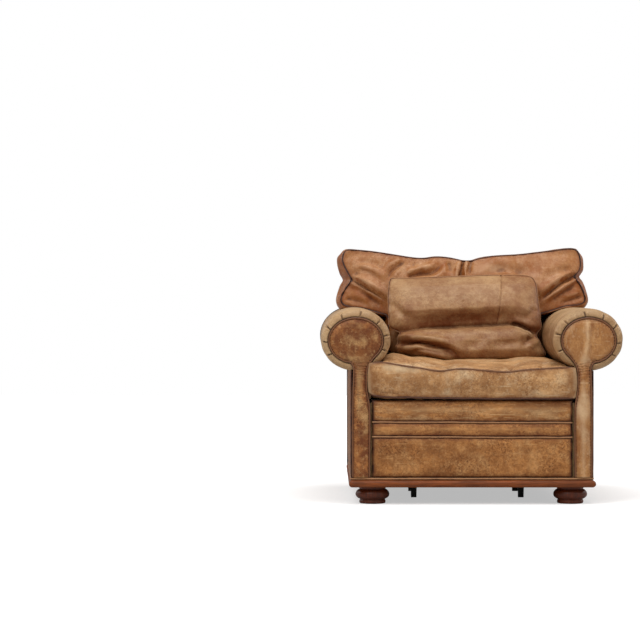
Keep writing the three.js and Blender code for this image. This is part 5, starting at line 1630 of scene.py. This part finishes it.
class CHAIR_OT_pillow(bpy.types.Operator):
    """Makes the slumped lumbar pillow, its seam, folds and piping"""

    bl_idname = "chair.pillow"
    bl_label = "Lumbar pillow"

    def execute(self, context):
        sizes = context.scene.chair_sizes
        colours = context.scene.chair_colours
        hide = worn_leather("pillow_hide", colours.pillow, "#6A3212", "#BE9C72", 0.55, 0.45, 0.2, 0.42, 29.0)
        cord = piping_leather("pillow_piping", "#9A6E48", "#54301C")
        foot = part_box("seat_cushion")[1].z - 0.0165
        nu, nv = 96, 76
        us = np.linspace(-1, 1, nu + 1)
        vs = np.linspace(0, 1, nv + 1)
        fold = 0.66
        # How far it reaches to the left and to the right on its way down, with a nick at the fold.
        left = edge_at([(0.0, 0.270), (0.05, 0.274), (0.2, 0.281), (0.45, 0.276), (0.62, 0.270),
                        (0.66, 0.238), (0.72, 0.236), (0.85, 0.247), (0.93, 0.254), (1.0, 0.244)], vs)
        right = edge_at([(0.0, 0.256), (0.05, 0.264), (0.3, 0.272), (0.5, 0.277), (0.62, 0.277),
                         (0.66, 0.258), (0.72, 0.263), (0.88, 0.283), (0.96, 0.293), (1.0, 0.290)], vs)
        xs = np.where(us[:, None] < 0, us[:, None] * left[None], us[:, None] * right[None])
        top = edge_at([(-0.30, 0.782), (-0.266, 0.7855), (-0.176, 0.788), (-0.035, 0.793), (0.128, 0.798),
                       (0.235, 0.7955), (0.262, 0.786), (0.30, 0.776)], xs)
        ridge = edge_at([(-0.30, 0.590), (-0.2376, 0.5935), (-0.147, 0.6075), (-0.064, 0.610), (0.0, 0.6138),
                         (0.10, 0.618), (0.172, 0.6215), (0.20, 0.614), (0.246, 0.590), (0.30, 0.585)], xs)
        base = edge_at([(-0.30, 0.531), (-0.262, 0.528), (-0.2455, 0.517), (-0.2087, 0.508), (-0.147, 0.498),
                        (-0.08, foot), (0.2, foot), (0.25, foot + 0.004), (0.30, foot + 0.012)], xs)
        v = vs[None] + 0 * xs
        below = (v - fold) / (1 - fold)
        zs = np.where(v < fold, top + (ridge - top) * v / fold, ridge + (base - ridge) * below)
        # The hide dips behind the folded lobe before it comes forward again.
        zs = zs - 0.007 * bump(v, fold, 0.016)
        # How far its front stands before the plane of the back cushion, from its top to its foot.
        stand = np.interp(v, *np.array([
            (0.0, 0.045), (0.04, 0.074), (0.12, 0.104), (0.25, 0.130), (0.36, 0.141), (0.42, 0.144), (0.50,
                                                                                                      0.142),
            (0.58, 0.136), (0.64, 0.128), (0.66, 0.112), (0.685, 0.156), (0.73, 0.180), (0.80,
                                                                                         0.194),
                                                                                         (0.90, 0.190),
            (0.97, 0.170), (1.0, 0.150),
        ]).T)
        # A hollow above the fold, with a soft upper edge.
        stand = stand - 0.034 * ease(0.41, 0.60, v) * ease(0.70, 0.66, v) * bump(xs, -0.01, 0.19)
        behind = np.interp(v, (0, 0.1, 0.7, 1), (0.045, 0.042, 0.044, 0.060))
        seam_at = np.interp(v, (0, 0.1, 0.62, 0.70, 1), (0.045, 0.075, 0.088, 0.110, 0.118))
        fill = (1 - np.abs(us[:, None]) ** 5) ** 0.6
        plane = BACK_FOOT - 0.150 + (zs - SEAT) * LEAN
        front = np.stack([xs, plane - seam_at - (stand - seam_at) * fill, zs], axis=2)
        rear = np.stack([xs, plane - seam_at - (behind - seam_at) * fill, zs], axis=2)
        piece, seam, _ = padded("pillow", np.ones((nu, nv), bool), front, rear, 1, 0.0, hide)
        points = points_of(piece)
        at_foot = np.nonzero(points[:, 2] < foot + 0.004)[0]
        creasing = 1 - 0.85 * bump(points[:, 2], 0.608, 0.018)
        inflated(piece, sorted(set(seam) | set(at_foot.tolist())),
                 sizes.filling * 0.8, sizes.slack * 1.2, 0.010, freely=creasing)
        subdivided(piece)
        ruffled(piece, sizes.wrinkle, 0.07, 71)
        arc = [(-0.256, 0.536), (-0.229, 0.550), (-0.188, 0.5545), (-0.147, 0.549), (-0.105, 0.5395),
               (-0.064, 0.5255), (-0.040, 0.508), (-0.024, 0.486)]
        folds = (
            (arc, 0.009, 0.028, 0.5, 0),
            ([(-0.215, 0.580), (-0.16, 0.586), (-0.09, 0.585)], 0.007, 0.006, 0.3, 0),
            ([(-0.20, 0.522), (-0.15, 0.528), (-0.11, 0.520), (-0.08, 0.506)], 0.007, 0.007, 0.5, 0),
            ([(0.165, 0.620), (0.20, 0.608), (0.235, 0.592), (0.262, 0.583)], 0.009, 0.015, 0.4, 0),
            ([(0.225, 0.578), (0.19, 0.560), (0.15, 0.552), (0.09, 0.556)], 0.013, 0.007, 0.3, 0),
            ([(0.265, 0.578), (0.235, 0.566), (0.214, 0.552), (0.204, 0.532)], 0.010, 0.010, 0.4, 0),
            ([(0.08, 0.57), (0.03, 0.552), (-0.01, 0.53)], 0.016, 0.006, 0.3, 0),
            ([(-0.266, 0.70), (-0.24, 0.665), (-0.19, 0.635)], 0.012, 0.006, 0.3, 0),
            ([(0.262, 0.68), (0.24, 0.655), (0.20, 0.64)], 0.011, 0.005, 0.3, 0),
        )
        for line, width, depth, lip, side in folds:
            creased(piece, line, width, depth, lip, side, 1.4, (0.18, 0.3))
        # The vertical seam that joins its two hides, and the nick in its middle.
        joined = [(0.138, 0.80), (0.131, 0.72), (0.120, 0.64), (0.115, 0.60)]
        creased(piece, joined, 0.0024, 0.0032, 0.3, 0, 1.0, (0.02, 0.3))
        creased(piece, [(-0.012, 0.697), (-0.007, 0.702), (-0.002, 0.705)], 0.0024, 0.003, 0.3, 0, 1.0)
        seam_line = smoothed(points_of(piece)[seam])
        rims = [looped(seam_line)]

        def tone(points):
            # Painted shade in the hollow above the fold, just above it at both sides, and along the crescent
            # of the lower left fold. The lower lobe is darker, with a spot of painted shade at its right.
            # Paler at the upper left, partly faded hide and partly a painted highlight, with painted
            # highlights on the lower lobe and along its top edge. The right hide is darker, and so is the
            # line of its seam.
            x, z = points[:, 0], points[:, 2]
            ridge_z = np.interp(x, *np.array([
                (-0.24, 0.5935), (-0.147, 0.6075), (-0.064, 0.61), (0.1, 0.618), (0.172, 0.6215), (0.246,
                                                                                                   0.59),
            ]).T)
            above, over = z - ridge_z, ease(-0.004, 0.002, z - ridge_z)
            hollow = ease(0.684, 0.664, z) * over * bump(x, -0.02, 0.13)
            hollow = hollow * (0.55 + 0.45 * ease(0.05, 0.02, above))
            beside = ease(-0.09, -0.16, x) + ease(0.17, 0.2, x)
            hollow = hollow + 0.55 * over * ease(0.026, 0.006, above) * beside
            flat = np.stack([x, z], axis=1)[:, None] - spline(arc, 40)[None]
            crescent = bump(np.linalg.norm(flat, axis=2).min(1), 0, 0.009) * ease(-0.25, -0.22, x)
            low = (1 - over) * 0.30 + spots(x, z, [(0.25, 0.22, 0.03, 0.56, 0.025)])
            fading_and_painted_light = 0.30 * ease(0.68, 0.72, z) * ease(0.2, 0.12, x) + spots(x, z, [(0.35, 0.05, 0.1, 0.535,
                                                                                    0.02)])
            fading_and_painted_light = fading_and_painted_light + 0.5 * bump(above, -0.004, 0.003) * ease(-0.20, -0.14, x) * ease(0.17, 0.13, x)
            right_part = 0.45 * ease(0.12, 0.17, x) + 0.5 * bump(x, 0.1310 - (0.72 - z) * 0.14, 0.0026)
            return fading_and_painted_light - hollow * 1.2 - low - crescent * 0.9 - right_part * over

        mark_wear(piece, rims, 0.003, tone, 0.008)
        placed(piece, "leather_pillow", "lumbar_pillow")
        out = seam_line - seam_line.mean(0)
        crest = even_loop(out, 419)
        crest[:, 1] = -0.2
        welt = tube("pillow_piping", even_loop(seam_line, 419), sizes.piping * 0.6, cord, True, 10, crest)
        placed(welt, "leather_pillow")
        return {"FINISHED"}


class CHAIR_OT_dust_cover(bpy.types.Operator):
    """Makes the black cotton dust cover that is tacked under the plinth and sags a little"""

    bl_idname = "chair.dust_cover"
    bl_label = "Dust cover"

    def execute(self, context):
        low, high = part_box("dust_cover")
        cloth = woven_cloth("black_cotton", "#2B2724", "#131110", 0.0025)
        feet, legs = [], []
        for side in ("right", "left"):
            for where in ("front", "rear"):
                for name, found in (("foot", feet), ("centre_leg", legs)):
                    a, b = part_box(f"{name}_{where}_{side}")
                    found.append(((a.x + b.x) / 2, (a.y + b.y) / 2))
        leg_half, collar = 0.013, 0.050
        xs, ys = (np.unique(np.round(np.concatenate([
            np.linspace(a, b, count), *([leg[k] - leg_half, leg[k] + leg_half] for leg in legs),
        ]), 5)) for k, a, b, count in ((0, low.x, high.x, 61), (1, low.y, high.y, 67)))
        x, y = np.meshgrid(xs, ys, indexing="ij")
        for fx, fy in feet:
            # The cloth is cut round each foot's collar.
            away = np.hypot(x - fx, y - fy)
            close = (away > collar - 0.007) & (away < collar + 0.005)
            close &= (np.abs(x) < high.x - 0.001) & (y > low.y + 0.001) & (y < high.y - 0.001)
            x = np.where(close, fx + (x - fx) * collar / away, x)
            y = np.where(close, fy + (y - fy) * collar / away, y)
        nearest = np.min([np.abs(np.abs(x) - abs(leg[0])) for leg in legs], axis=0)
        along = np.clip((y - low.y) / (high.y - low.y), 0, 1)
        sag = 0.004 * ease(0.0, 0.10, nearest) * np.sin(np.pi * along) ** 0.5 * ease(0, 0.05,
                                                                                     high.x - np.abs(x))
        z = high.z - 0.0004 - sag
        points = np.stack([x, y, z], axis=2)
        faces, area = [], 0.0
        for i in range(len(xs) - 1):
            for j in range(len(ys) - 1):
                cx, cy = x[i : i + 2, j : j + 2].mean(), y[i : i + 2, j : j + 2].mean()
                if any(math.hypot(cx - fx, cy - fy) < collar for fx, fy in feet):
                    continue
                if any(max(abs(cx - lx), abs(cy - ly)) < leg_half for lx, ly in legs):
                    continue
                ring = [(i, j), (i + 1, j), (i + 1, j + 1), (i, j + 1)]
                faces.append(tuple(a * len(ys) + b for a, b in ring))
                one, other = points[i + 1, j + 1] - points[i, j], points[i, j + 1] - points[i + 1, j]
                area += abs(one[0] * other[1] - one[1] * other[0]) / 2
        used = sorted({k for face in faces for k in face})
        number = {k: n for n, k in enumerate(used)}
        faces = [tuple(number[k] for k in face) for face in faces]
        piece = make("dust_cloth", points.reshape(-1, 3)[used], faces, cloth)
        placed(piece, "black_cloth", "dust_cover")
        rails = [f"plinth_{side}" for side in ("front", "back", "left", "right")]
        rails += ["centre_rail_left", "centre_rail_right"]
        return {"FINISHED"}


class CHAIR_OT_frame(bpy.types.Operator):
    """Gives the hidden frame, springs and cloths their materials"""

    bl_idname = "chair.frame"
    bl_label = "Frame and springs"

    def execute(self, context):
        finishes = {
            "frame_wood": sawn_beech("sawn_beech"),
            "spring_steel": spring_steel("oiled_spring_wire"),
            "black_cloth": woven_cloth("black_deck_cotton", "#2B2724", "#131110", 0.0025),
            "padding": woven_cloth("cotton_wadding", "#D8CCB2", "#B8AA8C", 0.004),
        }
        for part in frame["record"]["subparts"]:
            material = finishes.get(part["material_slot"])
            node = frame["nodes"][part["node"]]
            if material is not None:
                node.data.materials.clear()
                node.data.materials.append(material)
        return {"FINISHED"}


class CHAIR_PT_pieces(bpy.types.Panel):
    """Lists the chair's pieces and what may be changed"""

    bl_idname = "CHAIR_PT_pieces"
    bl_label = "Worn Club Chair"
    bl_space_type = "VIEW_3D"
    bl_region_type = "UI"
    bl_category = "Chair"

    def draw(self, context):
        scene = context.scene
        for operator in OPERATORS:
            self.layout.operator(operator.bl_idname)
        for group in (scene.chair_sizes, scene.chair_colours, scene.chair_stage):
            for name in group.__annotations__:
                self.layout.prop(group, name)


GROUPS = {"chair_colours": ChairColours, "chair_sizes": ChairSizes, "chair_stage": ChairStage}
OPERATORS = (
    CHAIR_OT_stage, CHAIR_OT_frame, CHAIR_OT_wood, CHAIR_OT_facings, CHAIR_OT_rolls, CHAIR_OT_border,
    CHAIR_OT_panels, CHAIR_OT_seat, CHAIR_OT_back, CHAIR_OT_pillow, CHAIR_OT_dust_cover,
)


def register():
    for name, group in GROUPS.items():
        bpy.utils.register_class(group)
        setattr(bpy.types.Scene, name, bpy.props.PointerProperty(type=group))
    for kind in (*OPERATORS, CHAIR_PT_pieces):
        bpy.utils.register_class(kind)


def unregister():
    for kind in (CHAIR_PT_pieces, *reversed(OPERATORS)):
        bpy.utils.unregister_class(kind)
    for name, group in reversed(GROUPS.items()):
        delattr(bpy.types.Scene, name)
        bpy.utils.unregister_class(group)


def main():
    register()
    for operator in OPERATORS:
        family, name = operator.bl_idname.split(".")
        getattr(getattr(bpy.ops, family), name)()


if __name__ == "__main__":
    main()
